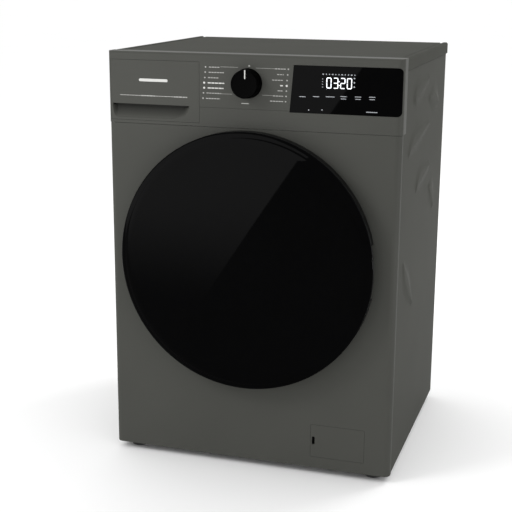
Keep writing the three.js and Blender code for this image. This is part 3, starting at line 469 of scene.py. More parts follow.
cast_grey = surface("cast_concrete", (0.27, 0.265, 0.25), 0.85, vary=0.22, grain=130, bump=0.9,
                    rough_vary=0.08)
rubber_grey = surface("gasket_rubber", (0.12, 0.125, 0.13), 0.55, vary=0.08, grain=500, bump=0.1)
rubber_black = surface("black_rubber", (0.012, 0.012, 0.012), 0.72, vary=0.15, grain=600,
                       bump=0.2)
marking = surface("printed_marks", (0.46, 0.46, 0.44), 0.5, vary=0.03, bump=0.0)
dim_marking = surface("printed_marks_dim", (0.24, 0.24, 0.225), 0.5, vary=0.03, bump=0.0)
strap_marking = surface("printed_marks_mid", (0.27, 0.27, 0.255), 0.5, vary=0.03, bump=0.0)
lit_digits = glowing("lit_digits", (0.92, 0.95, 1.0), 0.75)
dim_icons = glowing("dim_icons", (0.25, 0.26, 0.28), 0.25)
clear_glass = bowl_glass()


# ---- cabinet ------------------------------------------------------------------------


def plan_loop(half, back, inset=0.0):
    """The cabinet's plan from above, open side to the back, inset by a wall."""
    x, y, r = half - inset, FRONT + inset, CORNER_R - inset
    return ([(-x, back)] + arc(-x + r, y + r, r, 180, 270, 10)
            + arc(x - r, y + r, r, 270, 360, 10) + [(x, back)])


def front_panel():
    half, back = PANEL_HIGH.x, PANEL_HIGH.y
    outer = extruded(plan_loop(half, back), PANEL_LOW.z, FASCIA_LOW.z - 0.6 * MM, "Z")
    reach = (FRONT - PAST, FRONT + PAST)
    tools = [extruded(plan_loop(half, back + PAST, SHEET), -0.1, 1, "Z"),
             drill(OPENING_R, reach, DOOR_CENTER, 128)]
    ear_left, ear_right, ear_half, lock_half = -249 * MM, -237 * MM, 3.5 * MM, 12 * MM
    for middle in EAR_HEIGHTS:
        tools.append(box_object((ear_left, reach[0], middle - ear_half),
                                (ear_right, reach[1], middle + ear_half)))
    lock_slot = rounded_rect(0.210, 0.230, AXIS_Z - lock_half, AXIS_Z + lock_half, 0.002)
    tools.append(extruded(lock_slot, *reach))
    tools.append(extruded(node_rect("filter_flap", 0.35 * MM, 2.5 * MM), *reach))
    boolean(outer, tools)
    rim = [(203.8, 0), (204.2, 0), (205, 1), (205, 17), (203.8, 17), (203.8, 2)]
    boolean(outer, [lathe(in_mm(rim, FRONT), 128, DOOR_CENTER)], "UNION")
    soften(outer, 0.45 * MM, 2, 50)
    piece_for(outer, "front_panel", "front_panel_skin", paint)


def brow_loop(back, low, inset=0.0):
    """The fascia's section from the side, with its round top front edge."""
    r = 6 * MM - inset
    y, z = FRONT + inset, FASCIA_HIGH.z - inset
    return [(back, low), (y, low)] + arc(y + r, z - r, r, 180, 90, 10) + [(back, z)]


def pane_loop(grow=0.0):
    """The display's outline: its left edge leans out downwards, its right corners are round."""
    low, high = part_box("display_window")
    slant, r = 7.5 * MM, 8 * MM + grow
    x0, x1, z0, z1 = low.x - grow, high.x + grow, low.z - grow, high.z + grow
    return ([(x0, z0)] + arc(x1 - r, z0 + r, r, -90, 0) + arc(x1 - r, z1 - r, r, 0, 90)
            + [(x0 + slant, z1)])


def fascia_block(back, low, high, inset=0.0):
    """The fascia's plan and its section from the side, cut from one block."""
    half = FASCIA_HIGH.x + PAST
    block = extruded(plan_loop(FASCIA_HIGH.x, back, inset), low, high, "Z")
    return boolean(block, [extruded(brow_loop(back, low, inset), -half, half, "X")], "INTERSECT")


def control_fascia():
    half, back = FASCIA_HIGH.x, FASCIA_HIGH.y
    low, high = FASCIA_LOW.z, FASCIA_HIGH.z
    outer = fascia_block(back, low, high)
    inner = fascia_block(back + PAST, low + WALL, high + PAST, WALL)
    reach = (FRONT - PAST, FRONT + 0.009)
    drawer_right, pane_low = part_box("drawer_front")[1].x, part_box("display_window")[0]
    knob = box_and_middle("programme_knob")[2]
    gap, groove_end, groove_deep, stem_hole_r = 0.45 * MM, 1.5 * MM, 0.6 * MM, 9 * MM
    well_front, pane_back = FRONT + 17 * MM, FRONT + 14.2 * MM
    well = box_object((-half + WALL, well_front, low - PAST),
                      (half - WALL, back + PAST, low + 2 * WALL))
    drawer = extruded(node_rect("drawer_front", gap, 1.5 * MM), *reach)
    pane = extruded(pane_loop(gap), FRONT - PAST, pane_back)
    hole = drill(stem_hole_r, reach, (knob.x, knob.z), 48)
    groove = box_object(
        (drawer_right + groove_end, FRONT - PAST, pane_low.z + 1.6 * MM),
        (pane_low.x - gap - groove_end, FRONT + groove_deep, pane_low.z + 2.6 * MM))
    boolean(outer, [inner, well, drawer, pane, hole, groove])
    soften(outer, 0.4 * MM, 2, 50)
    piece_for(outer, "control_fascia", "control_fascia_shell", fascia_paint)


def top_cover():
    """The lid's section has a raised lip and a shallow groove along each side."""
    half, low, high = TOP_HIGH.x, TOP_LOW.z, TOP_HIGH.z
    r = 4.5 * MM
    groove = [(9, 0), (10.2, 0.3), (11.2, 2.2), (13, 3.1), (15.5, 2.9), (18, 0.9)]
    right = [(half, low)] + arc(half - r, high - r, r, 0, 90)
    right += [(half - x * MM, high - drop * MM) for x, drop in groove]
    under = [(half - 12 * MM, low), (half - 12 * MM, low + 6 * MM)]
    loop = right + [(-x, z) for x, z in reversed(right)]
    loop += [(-x, z) for x, z in under] + list(reversed(under))
    lid = extruded(loop, TOP_LOW.y, TOP_HIGH.y)
    soften(lid, 0.8 * MM, 3, 50)
    piece_for(lid, "top_cover", "top_cover_shell", lid_paint)


SIDE_ARCS = [
    # each arc: distance behind the front plane and height at its start, middle and end
    [(135, 761), (172, 774), (295, 789)],
    [(318, 746), (380, 739), (440, 722)],
    [(92, 661), (164, 682), (315, 694)],
    [(193, 574), (238, 592), (342, 600)],
    [(358, 548), (392, 529), (412, 499)],
    [(79, 434), (120, 392), (187, 334)],
]


def ridge_height(y, z):
    """Height of a side panel's pressed swirls, by distance behind the front and height, in mm."""
    total = np.zeros_like(y)
    for start, middle, end in SIDE_ARCS:
        t = np.linspace(0, 1, 60)[:, None]
        control = 2 * np.array(middle) - 0.5 * (np.array(start) + np.array(end))
        path = (1 - t) ** 2 * np.array(start) + 2 * t * (1 - t) * control + t ** 2 * np.array(end)
        d2 = (y[..., None] - path[:, 0]) ** 2 + (z[..., None] - path[:, 1]) ** 2
        near = d2.argmin(-1)
        distance = np.sqrt(d2.min(-1))
        along = near / (len(path) - 1)
        width = 5 + 13 * np.sin(np.pi * np.clip(along, 0.03, 0.97))
        total = np.maximum(total, 3.2 * np.exp(-(distance / width) ** 2))
    return total


def handed_box(side, near, far, ys, zs):
    """A box on one side of the machine, near to far from its middle plane."""
    x0, x1 = sorted((side * near, side * far))
    return box_object((x0, ys[0], zs[0]), (x1, ys[1], zs[1]))


def side_panel(side, node, name):
    low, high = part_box(node)
    x_out = max(abs(low.x), abs(high.x))
    border, deepest = 0.004, 2.5 * MM
    ys = np.concatenate([[low.y], np.linspace(low.y + border, high.y - border, 150), [high.y]])
    zs = np.concatenate([[low.z], np.linspace(low.z + border, high.z - border, 230), [high.z]])
    grid_y, grid_z = np.meshgrid(ys, zs, indexing="ij")
    relief = ridge_height((grid_y - FRONT) / MM, grid_z / MM) * MM
    outer = [(side * (x_out + min(h, deepest)), y, z)
             for y, z, h in zip(grid_y.ravel(), grid_z.ravel(), relief.ravel())]
    inner = [(x - side * SHEET, y, z) for x, y, z in outer]
    wall = thick_grid(outer, inner, len(ys), len(zs))
    # two folded returns, and the bracket that the spring hangs on, all let into the sheet a little
    edge, returned, let_in = x_out - SHEET, 12 * MM, 0.6 * MM
    near, far = edge - returned, edge + let_in
    bracket_x, bracket_ys, bracket_tall = 0.236, (0.068, 0.092), 5 * MM
    hook_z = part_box("spring_left")[1].z + 0.4 * MM
    joined([
        wall,
        handed_box(side, near, far, (high.y - SHEET, high.y), (0.04, high.z)),
        handed_box(side, near, far, (-0.2, high.y), (high.z - SHEET, high.z)),
        handed_box(side, bracket_x, far, bracket_ys, (hook_z, hook_z + bracket_tall)),
    ])
    piece_for(smooth(wall, 40), node, name, side_paint)


# ---- fascia furniture ---------------------------------------------------------------

def drawer_front():
    """The drawer's face, round at its left edge like the cabinet, with a scooped finger pocket."""
    low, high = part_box("drawer_front")
    lip_z, floor_z = low.z + 32.2 * MM, low.z + 2.5 * MM
    slab = extruded(node_rect("drawer_front", 0, 1.2 * MM), low.y, high.y)
    plan = plan_loop(FASCIA_HIGH.x, high.y + PAST)
    boolean(slab, [extruded(plan, low.z - PAST, high.z + PAST, "Z")], "INTERSECT")
    left, right = low.x + 3.5 * MM, high.x - 18.5 * MM
    deep, lead = 12 * MM, 1.5 * MM

    def rise(share):
        return math.sin(min(max(share, 0), 1) * math.pi / 2)

    def depth(x, z):
        u = min(max((lip_z - z) / (lip_z - floor_z), 0), 1)
        start, end = left + 5 * MM * u * u, right - 34 * MM * u ** 3
        ends = rise((end - x) / (22 * MM)) * rise((x - start) / (7 * MM))
        return (deep + lead) * (1 - u ** 1.5) ** 0.9 * ends - lead

    xs = np.linspace(left - 1 * MM, right + 1 * MM, 110)
    zs = np.linspace(floor_z - 0.001, lip_z, 34)
    back = [(x, low.y + depth(x, z), z) for x in xs for z in zs]
    front = [(x, low.y - 4 * MM, z) for x in xs for z in zs]
    scoop = thick_grid(back, front, len(xs), len(zs))
    channel = rounded_rect(left + 1 * MM, right - 4 * MM, lip_z - 4 * MM, lip_z + 15 * MM, 3 * MM)
    boolean(slab, [scoop, extruded(channel, low.y + 3.2 * MM, low.y + 11.9 * MM)])
    soften(slab, 0.4 * MM, 2, 45)
    # the pocket's floor darkens with depth by painted shade in the drawer's material
    piece_for(slab, "drawer_front", "drawer_front_moulding", drawer_paint_with_shade)


def programme_knob():
    low, high, middle = box_and_middle("programme_knob")
    x, z, r, face = middle.x, middle.z, (high.x - low.x) / 2, low.y
    skirt, stem_r, edge_r = FRONT - 0.4 * MM, 6 * MM, 1.8 * MM
    profile = [(0, face + 0.9 * MM), (r - 9 * MM, face + 0.8 * MM), (r - 5 * MM, face + 0.3 * MM)]
    profile += arc(r - 2 * edge_r, face + edge_r, edge_r, -90, 0, 5)
    profile += [(r - 1.2 * MM, skirt - 3.4 * MM), (r - 0.2 * MM, skirt - 3.0 * MM),
                (r, skirt - 2.4 * MM), (r, skirt), (stem_r, skirt), (stem_r, high.y), (0, high.y)]
    knob = lathe(profile, 96, (x, z), closed=False)
    piece_for(smooth(knob, 50), "programme_knob", "programme_knob_cap", knob_black)
    bar = extruded(rounded_rect(x + 0.6 * MM, x + 2.8 * MM, z + 10.5 * MM, z + r - 1.6 * MM,
                                0.6 * MM), face - 0.1 * MM, face + 0.8 * MM)
    soften(bar, 0.15 * MM, 2, 40)
    place(bar, "knob_pointer", marking, "knob")


def display_window():
    """The pane follows the cabinet's plan, so its right edge turns with the corner."""
    back, half = FRONT + 26 * MM, FASCIA_HIGH.x
    heights = (FASCIA_LOW.z, FASCIA_HIGH.z)
    pane = extruded(pane_loop(), FRONT - PAST, back - MM)
    boolean(pane, [extruded(plan_loop(half, back, -0.4 * MM), *heights, "Z")], "INTERSECT")
    boolean(pane, [extruded(plan_loop(half, back + PAST, WALL), *heights, "Z")])
    soften(pane, 0.3 * MM, 2, 50)
    piece_for(pane, "display_window", "display_pane", gloss_black)


def flat_marks(name, loops, origin, y, material, body="cabinet", thick=0.12 * MM):
    """Printed or lit marks, outlined in mm from origin, a hair proud of their surface."""
    x0, z0 = origin
    parts = [extruded([(x0 + u * MM, z0 + v * MM) for u, v in loop], y - thick, y + 0.05 * MM)
             for loop in loops]
    place(joined(parts), name, material, body)


SEGMENTS = {"0": "abcdef", "2": "abged", "3": "abgcd"}


def digit_loops(char, x, z, wide, tall, bold):
    """Seven-segment outlines for one digit whose lower left corner is (x, z)."""
    half, b = tall / 2, bold / 2
    tip = bold * 0.16 + b

    def across(zz):
        x0, x1 = x, x + wide
        return [(x0 + tip, zz), (x0 + bold, zz + b), (x1 - bold, zz + b), (x1 - tip, zz),
                (x1 - bold, zz - b), (x0 + bold, zz - b)]

    def upright(xx, z0, z1):
        return [(xx, z0 + tip), (xx + b, z0 + bold), (xx + b, z1 - bold), (xx, z1 - tip),
                (xx - b, z1 - bold), (xx - b, z0 + bold)]

    left, right = x + b, x + wide - b
    parts = {
        "a": across(z + tall - b), "g": across(z + half), "d": across(z + b),
        "f": upright(left, z + half - b, z + tall), "b": upright(right, z + half - b, z + tall),
        "e": upright(left, z, z + half + b), "c": upright(right, z, z + half + b),
    }
    return [parts[s] for s in SEGMENTS[char]]


def display_marks():
    """Time, icons and touch marks, in mm from a point left of the pane's lower right corner."""
    low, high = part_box("display_window")
    corner, foot = (high.x - 210 * MM, low.z), 48.2
    digits = []
    for char, start in zip("0320", (65, 78.2, 91.8, 104.6)):
        digits += digit_loops(char, start, foot, 9.9, 20.5, 1.65)
    digits += [bar_loop(89.1, 90.7, foot + z, 1.7) for z in (6.2, 13.4)]
    flat_marks("display_digits", digits, corner, low.y, lit_digits)
    icons, row_z = [], 74.6
    for x, round_one in [(58.5 + 6.1 * k, k % 3) for k in range(11)]:
        icons.append(dot_loop(x, row_z, 1.2, 6) if round_one
                     else bar_loop(x - 1.5, x + 1.5, row_z, 1.9))
    icons += [bar_loop(56.6, 58.6, z, 1.2) for z in (50.5, 55.5, 60.6, 65.7)]
    icons += [dot_loop(118.8, z, 1.5, 8) for z in (52.5, 60.5, 68.5)]
    touch_marks = ((18.6, 30.8, 6), (45.2, 31.8, 6), (72.9, 32.5, 8.6),
                   (98.7, 33.9, 6), (126.7, 34.3, 6), (153.7, 34.9, 6))
    for k, (x, z, half) in enumerate(touch_marks):
        icons.append(bar_loop(x - half, x + half, z, 1.2))
        if k > 2:
            icons.append(bar_loop(x - half + 1, x + half - 1, z - 4.4, 1.2))
    icons += [dot_loop(x, z, 1.2, 8) for x, z in ((31.2, 5.9), (57.4, 7.1))]
    icons.append(bar_loop(143, 164.5, 6.6, 1.4))
    flat_marks("display_icons", icons, corner, low.y, dim_icons)


LEFT_ROWS = [
    # each row of the left column: bullet, height, start and end, in mm from the knob's centre
    (-86.6, 28.8, -79.6, -56.9), (-87.5, 18.7, -80.2, -48.8), (-88.4, 8.3, -81.7, -59.9),
    (-89.7, -1.8, -82.3, -48.3), (-89.7, -11.6, -82.4, -49.7), (-91.2, -21.6, -85.0, -54.1),
    (-92.2, -32.1, -86.0, -57.0),
]
RIGHT_ROWS = [
    (80.9, 29.6, 54.3, 76.7), (79.7, 18.9, 58.7, 71.8), (78.6, 8.2, 48.9, 70.6),
    (78.0, -2.0, 65.0, 70.4),
    (77.4, -11.9, 59.9, 70.0), (76.9, -22.0, 50.6, 71.2), (76.1, -32.1, 45.1, 71.3),
]


def programme_marks():
    """Generic dots and dashes where the programme names go, in mm from the knob's centre."""
    middle = box_and_middle("programme_knob")[2]
    bright, dim = [], []
    for rows, bold_rows in ((LEFT_ROWS, (3, 4)), (RIGHT_ROWS, (3,))):
        for row, (bullet, height, start, end) in enumerate(rows):
            bold = row in bold_rows
            target = bright if bold else dim
            dot_r, dash, tall = (2.2, 6.5, 2.3) if bold else (1.6, 4.6, 1.7)
            target.append(dot_loop(bullet, height, dot_r, 8))
            while start < end - 0.5:
                stop = min(start + dash, end)
                target.append(bar_loop(start, stop, height, tall))
                start = stop + 1.0
    leaders = ((-56, -20, 29.9), (-53, -32, -22), (16, 54, 29.8), (29, 50, -21.4))
    dim += [bar_loop(start, end, height, 0.6) for start, end, height in leaders]
    dim += [dot_loop(2.6, 33.4, 1.8, 10), bar_loop(-13, 2, -39, 1.7)]
    center = (middle.x, middle.z)
    flat_marks("programme_marks_bold", bright, center, FRONT, marking)
    flat_marks("programme_marks", dim, center, FRONT, dim_marking)


def drawer_marks():
    """A row of dashes and a plain bar, in mm from the drawer front's lower left corner."""
    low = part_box("drawer_front")[0]
    corner = (low.x, low.z)
    accents, plain = [], []
    start, lengths = 21.0, itertools.cycle((7.5, 4.5, 6, 3.8, 5.2))
    while start < 162:
        end = min(start + next(lengths), 164.6)
        bold = 63 < start < 95 or start > 134
        (accents if bold else plain).append(bar_loop(start, end, 49, 2.0 if bold else 1.3))
        start = end + 0.9
    badge = rounded_rect(62.5, 123.5, 77.2, 82.8, 2.7)
    for name, loops, material, thick in (
            ("drawer_strap_marks", plain, dim_marking, 0.12 * MM),
            ("drawer_strap_accents", accents, strap_marking, 0.12 * MM),
            ("drawer_badge_bar", [badge], marking, 0.5 * MM)):
        flat_marks(name, loops, corner, FRONT, material, "drawer", thick)


# ---- door ---------------------------------------------------------------------------

def door_cover():
    low, high = COVER_LOW, COVER_HIGH
    bevel_r, edge_y, glass = DOOR_R - 12 * MM, high.y, 4 * MM

    def crown(r):
        return low.y + 9 * MM * (r / bevel_r) ** 2

    outer = [(r, crown(r)) for r in np.linspace(0, bevel_r, 26)]
    shoulder = in_mm([(0.6, 0.35), (4, 1.5)], crown(bevel_r))
    outer += [(bevel_r + r, y) for r, y in shoulder]
    edge = in_mm([(3, -3.9), (1.2, -3.0), (0.3, -1.8), (0, -0.9), (0.3, 0)], edge_y)
    outer += [(DOOR_R - r, y) for r, y in edge]
    inner = [(r, crown(r) + glass) for r in np.linspace(bevel_r, 0, 14)]
    cover = lathe(outer + [(bevel_r + MM, edge_y)] + inner, 192, DOOR_CENTER, closed=False)
    piece_for(smooth(cover, 32), "door_cover", "door_cover_lens", gloss_black)


def door_outer_frame():
    low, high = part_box("door_outer_frame")
    back, front, r, round_r = high.y, low.y, DOOR_R, 12 * MM
    profile = arc(r - round_r, back - round_r, round_r, 90, 0, 7)
    profile += [(r, front + 0.6 * MM), (r - 0.6 * MM, front), (r - 3.0 * MM, front),
                (r - 3.5 * MM, front + 0.5 * MM), (r - 3.5 * MM, back - 13 * MM),
                (r - 8 * MM, back - 5 * MM), (r - 13 * MM, back - 3 * MM),
                (OPENING_R, back - 3 * MM), (OPENING_R, back)]
    ring = lathe(profile, 192, DOOR_CENTER)
    tools = [box_object((-r - 4 * MM, front + 0.9 * MM, middle - 4 * MM),
                        (-234 * MM, back + MM, middle + 4 * MM)) for middle in EAR_HEIGHTS]
    # the hand recess, and the slot for the hook behind it
    for x0, x1, depth, half in ((226 * MM, r + 4 * MM, 29 * MM, 55 * MM),
                                (208 * MM, 227 * MM, 8 * MM, 11 * MM)):
        tools.append(box_object((x0, FRONT - depth, AXIS_Z - half), (x1, back + MM, AXIS_Z + half)))
    boolean(ring, tools)
    soften(ring, 0.4 * MM, 2, 40)
    piece_for(ring, "door_outer_frame", "door_rim", rim_black)


def door_inner_frame():
    low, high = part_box("door_inner_frame")
    back, front, r, round_r = high.y, low.y, high.x, 4 * MM
    profile = [(r - 1.2 * MM, front), (r, front + 1.2 * MM)]
    profile += arc(r - round_r, back - round_r, round_r, 0, 90, 5)
    profile += in_mm([(187, 0), (184, -1.2), (181, 0), (169, 0), (166.6, -0.6), (166, -3.4),
                      (178.4, -3.7)], back)
    profile += [(178.4 * MM, front + 18 * MM), (r - round_r, front)]
    ring = lathe(profile, 160, DOOR_CENTER)
    piece_for(smooth(ring, 35), "door_inner_frame", "door_inner_ring", black_plastic)
    circle = arc(0, AXIS_Z, 194.5 * MM, 22.5, 337.5, 7)
    screws("door_ring_screws", "door", 3.6 * MM, [(x, back, z) for x, z in circle])


def spline(points, steps=8):
    """A smooth curve through (radius, place) points."""
    out = []
    padded = [points[0]] + list(points) + [points[-1]]
    for corners in zip(padded, padded[1:], padded[2:], padded[3:]):
        for t in [k / steps for k in range(steps)]:
            out.append(tuple(
                0.5 * (2 * b + (c - a) * t + (2 * a - 5 * b + 4 * c - d) * t * t
                       + (3 * b - a - 3 * c + d) * t ** 3)
                for a, b, c, d in zip(*corners)))
    return out + [points[-1]]


def door_glass():
    """The pressed bowl: its outer and inner faces are two smooth curves on one flange."""
    outer = spline([(0, -152), (60, -152.6), (98, -156), (128, -170), (142, -192), (150, -215),
                    (156, -240), (160, -262)])
    inner = spline([(156, -266), (151.5, -240), (146, -216), (138, -194), (124.5, -173.5),
                    (97, -160.5), (60, -157), (0, -156.5)])
    flange = [(166, -262), (177.4, -262), (178, -262.8), (178, -265.2), (177.4, -266), (162, -266)]
    bowl = lathe(in_mm(outer + flange + inner), 128, DOOR_CENTER, closed=False)
    piece_for(smooth(bowl, 50), "door_glass_bowl", "door_bowl_pressed", clear_glass)


def gasket():
    low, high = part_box("door_gasket")
    half_wall, deep = 1.4, (high.y - low.y) / MM
    # radius, and distance behind the gasket's front edge
    points = spline([
        (163.9, 11.5), (165, 6.8), (168, 4.0), (172.5, 3.2), (176, 6.2), (179.5, 7.4),
        (182.5, 4.2), (186, 2.1), (193, 1.8), (198, 2.4), (201.6, 6), (201.8, 15), (199, 21),
        (190.5, 24), (185, 28), (187.5, 33), (186, 38), (181.5, 42), (180.8, 50), (181, deep - 1),
    ], 6)

    def offset(by):
        moved = []
        for (r, y), a, b in zip(points, points[:1] + points[:-1], points[1:] + points[-1:]):
            step = by / math.dist(a, b)
            moved.append((r - (b[1] - a[1]) * step, y + (b[0] - a[0]) * step))
        return moved

    profile = offset(half_wall) + list(reversed(offset(-half_wall)))
    bellows = smooth(lathe(in_mm(profile, low.y), 128, DOOR_CENTER), 60)
    bellows.name = "gasket_bellows"
    bellows.data.materials.append(rubber_grey)
    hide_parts("door_gasket")
    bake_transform(bellows)
    wire = [(201.9, 8), (203.4, 8.4), (203.8, 10), (203.4, 11.6), (201.9, 12)]
    clamp = lathe(in_mm(wire, low.y), 96, DOOR_CENTER)
    place(smooth(clamp), "gasket_clamp_ring", bright_steel, "cabinet")


def screw_head(r):
    """A pan head with a cross recess, facing +Y from the origin."""
    dome = [(r, 0), (r, 0.25 * r), (0.85 * r, 0.5 * r), (0.5 * r, 0.66 * r), (0, 0.7 * r)]
    head = lathe([(0, -0.05 * r)] + dome, 20, closed=False)
    for turn in (0, math.pi / 2):
        slot = box_object((-0.6 * r, 0.3 * r, -0.13 * r), (0.6 * r, r, 0.13 * r))
        slot.data.transform(Matrix.Rotation(turn, 4, "Y"))
        boolean(head, [slot])
    return smooth(head, 30)


def screws(name, body, r, spots):
    """Screw heads that face backwards, one at each spot, as one piece."""
    heads = [screw_head(r) for spot in spots]
    for head, spot in zip(heads, spots):
        head.data.transform(Matrix.Translation(spot))
    place(smooth(joined(heads), 30), name, bright_steel, body)


# ---- drum and tub -------------------------------------------------------------------

def perforated_barrel(r, thick, y0, y1, around, rows, hole):
    """A rolled sheet with rows of round holes, each row shifted half a step from the last."""
    verts, faces = [], []
    sides = 8
    step_y, step_t = (y1 - y0) / rows, TAU / around
    rim = dot_loop(0, 0, 1, sides)
    for row in range(rows):
        middle_y = y0 + (row + 0.5) * step_y
        for k in range(around):
            t0 = (k + 0.5 * (row % 2)) * step_t
            cell = []
            for u, v in rim:
                reach = 2 * max(abs(u), abs(v))
                cell.append((t0 + step_t * u / reach, middle_y + step_y * v / reach))
            cell += [(t0 + hole * u / r, middle_y + hole * v) for u, v in rim]
            base = len(verts)
            for radius in (r, r - thick):
                verts += [(radius * math.cos(t), y, AXIS_Z + radius * math.sin(t)) for t, y in cell]
            behind = len(cell)
            for c in range(sides):
                n = (c + 1) % sides
                o0, o1, h0, h1 = base + c, base + n, base + sides + c, base + sides + n
                faces += [(o0, o1, h1, h0), (o0 + behind, h0 + behind, h1 + behind, o1 + behind),
                          (h0, h1, h1 + behind, h0 + behind)]
    return raw_object("barrel", verts, faces)


def drum():
    low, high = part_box("drum_shell")
    front, back, collar_deep = low.y, high.y, 26
    barrel = perforated_barrel(high.x - 0.2 * MM, 0.9 * MM, front + collar_deep * MM,
                               back - collar_deep * MM, 66, 13, 2.6 * MM)
    neck = [(192, 0.6), (192.4, 0.0), (193.6, 0.0), (200, 0.6), (218, 1.2), (228, 2.2), (233, 5),
            (236.4, 9), (237.8, 14), (237.8, collar_deep)]
    inner = [(236.9, collar_deep), (236.9, 14.2), (235.6, 9.8), (232.4, 6.1), (227.8, 3.3),
             (218, 2.3), (200, 1.7), (194, 1.2)]
    # the collar and the back wall are left open where the barrel's two skins join them
    collar = lathe(in_mm(inner + neck, front), 132, DOOR_CENTER, closed=False)
    ribs = [(0, 3.2), (40, 3.2), (60, 3.2), (66, 1.2), (74, 1.2), (80, 3.2), (120, 3.2),
            (127, 1.4), (136, 1.4), (143, 3.2), (190, 3.2), (197, 1.4), (206, 1.4), (213, 3.2),
            (226, 3.0), (234, 4.5), (236.9, 9), (236.9, collar_deep)]
    outer = [(237.8, collar_deep), (237.8, 8.6), (235, 3.2), (228, 1.0), (213, 0.8), (0, 0.8)]
    section = [(r, -depth) for r, depth in outer + ribs]
    back_wall = lathe(in_mm(section, back), 132, DOOR_CENTER, closed=False)
    shell = outward(joined([collar, back_wall, barrel]), 2e-5)
    piece_for(smooth(shell, 35), "drum_shell", "drum_perforated", stainless)
    for k in (1, 2, 3):
        finished_copy(f"drum_paddle_{k}", grey_plastic, 5 * MM, 4, 30)


def helix(x, y, r, wire, z0, z1, turns, per_turn=14):
    """A coil spring with a straight hook at each end, as a tube along its centreline."""
    hook = 0.1 * (z1 - z0)
    steps = turns * per_turn
    ends = [(0, wire), (0, 0.5 * hook), (0.4 * r, 0.8 * hook)]
    path = [Vector((x + dx, y, z0 + dz)) for dx, dz in ends]
    for k in range(steps + 1):
        t = TAU * k / per_turn
        z = z0 + hook + (z1 - z0 - 2 * hook) * k / steps
        path.append(Vector((x + r * math.cos(t), y + r * math.sin(t), z)))
    path += [Vector((x + dx, y, z1 - dz)) for dx, dz in reversed(ends)]
    return tube(path, wire)


def tube(path, radius, sides=8):
    """A round tube with capped ends along a list of points."""
    verts, faces, side = [], [], None
    for k, p in enumerate(path):
        ahead = (path[min(k + 1, len(path) - 1)] - path[max(k - 1, 0)]).normalized()
        if side is None:
            side = ahead.orthogonal().normalized()
        side = (side - ahead * side.dot(ahead)).normalized()
        other = ahead.cross(side)
        verts += [p + radius * (side * u + other * v) for u, v in dot_loop(0, 0, 1, sides)]
    for start in range(0, len(verts) - sides, sides):
        for c in range(sides):
            n = (c + 1) % sides
            faces.append((start + c, start + n, start + sides + n, start + sides + c))
    faces.append(tuple(range(sides)))
    faces.append(tuple(range(len(verts) - 1, len(verts) - sides - 1, -1)))
    return smooth(outward(raw_object("tube", verts, faces)), 50)


def springs():
    for word in ("left", "right"):
        low, high, middle = box_and_middle("spring_" + word)
        x, y, wire = middle.x, middle.y, 1.9 * MM
        coil = helix(x, y, (high.x - low.x) / 2 - wire, wire, low.z, high.z, 30)
        coil.name = "coil_spring_" + word
        coil.data.materials.append(bright_steel)
        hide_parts("spring_" + word)
        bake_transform(coil)


def inside_pieces():
    """Everything behind the panels keeps its own shape, with rounded edges and its own finish."""
    plan = {
        "tub_front": (grey_plastic, 0.8), "tub_rear": (grey_plastic, 0.8),
        "upper_counterweight": (cast_grey, 4), "front_counterweight": (cast_grey, 3),
        "heater": (bright_steel, 0.6), "bearing_front": (bright_steel, 0.6),
        "bearing_rear": (bright_steel, 0.6), "motor_stator": (pump_black, 1.2),
        "drive_belt": (rubber_black, 0.3),
        "motor_pulley": (bright_steel, 0.5), "drum_spider": (cast_aluminium, 2),
        "drum_shaft": (bright_steel, 0.6), "drum_pulley": (cast_aluminium, 0.8),
        "damper_tube_left": (pump_black, 0.8), "damper_tube_right": (pump_black, 0.8),
        "damper_rod_left": (bright_steel, 0.5), "damper_rod_right": (bright_steel, 0.5),
        "front_crossbeam": (zinc, 0.3), "motor_controller": (pump_black, 1.5),
        "dispenser_housing": (white_plastic, 1), "drain_pump": (white_plastic, 1),
        "pump_impeller": (grey_plastic, 0.5), "drawer_tray": (white_plastic, 0.7),
        "siphon_cap": (grey_plastic, 0.8), "door_lock": (white_plastic, 0.8),
        "door_hinge_plate": (bright_steel, 0.6), "door_hinge_arm": (bright_steel, 0.6),
        "door_handle": (black_plastic, 1.0), "door_hook": (bright_steel, 0.6),
        "base_tray": (pump_black, 0.6), "mains_inlet_gland": (black_plastic, 0.5),
    }
    for node, (material, width) in plan.items():
        finished_copy(node, material, width * MM)


# ---- back, foot and flap ------------------------------------------------------------

def loop_outline(big_r, small_r, big_z, small_z, steps=28):
    """Round two wheels on one upright line, as (x, z) points."""
    lean = math.degrees(math.asin((big_r - small_r) / (big_z - small_z)))
    return (arc(0, big_z, big_r, -lean, 180 + lean, steps * 2)
            + arc(0, small_z, small_r, 180 + lean, 360 - lean, steps))


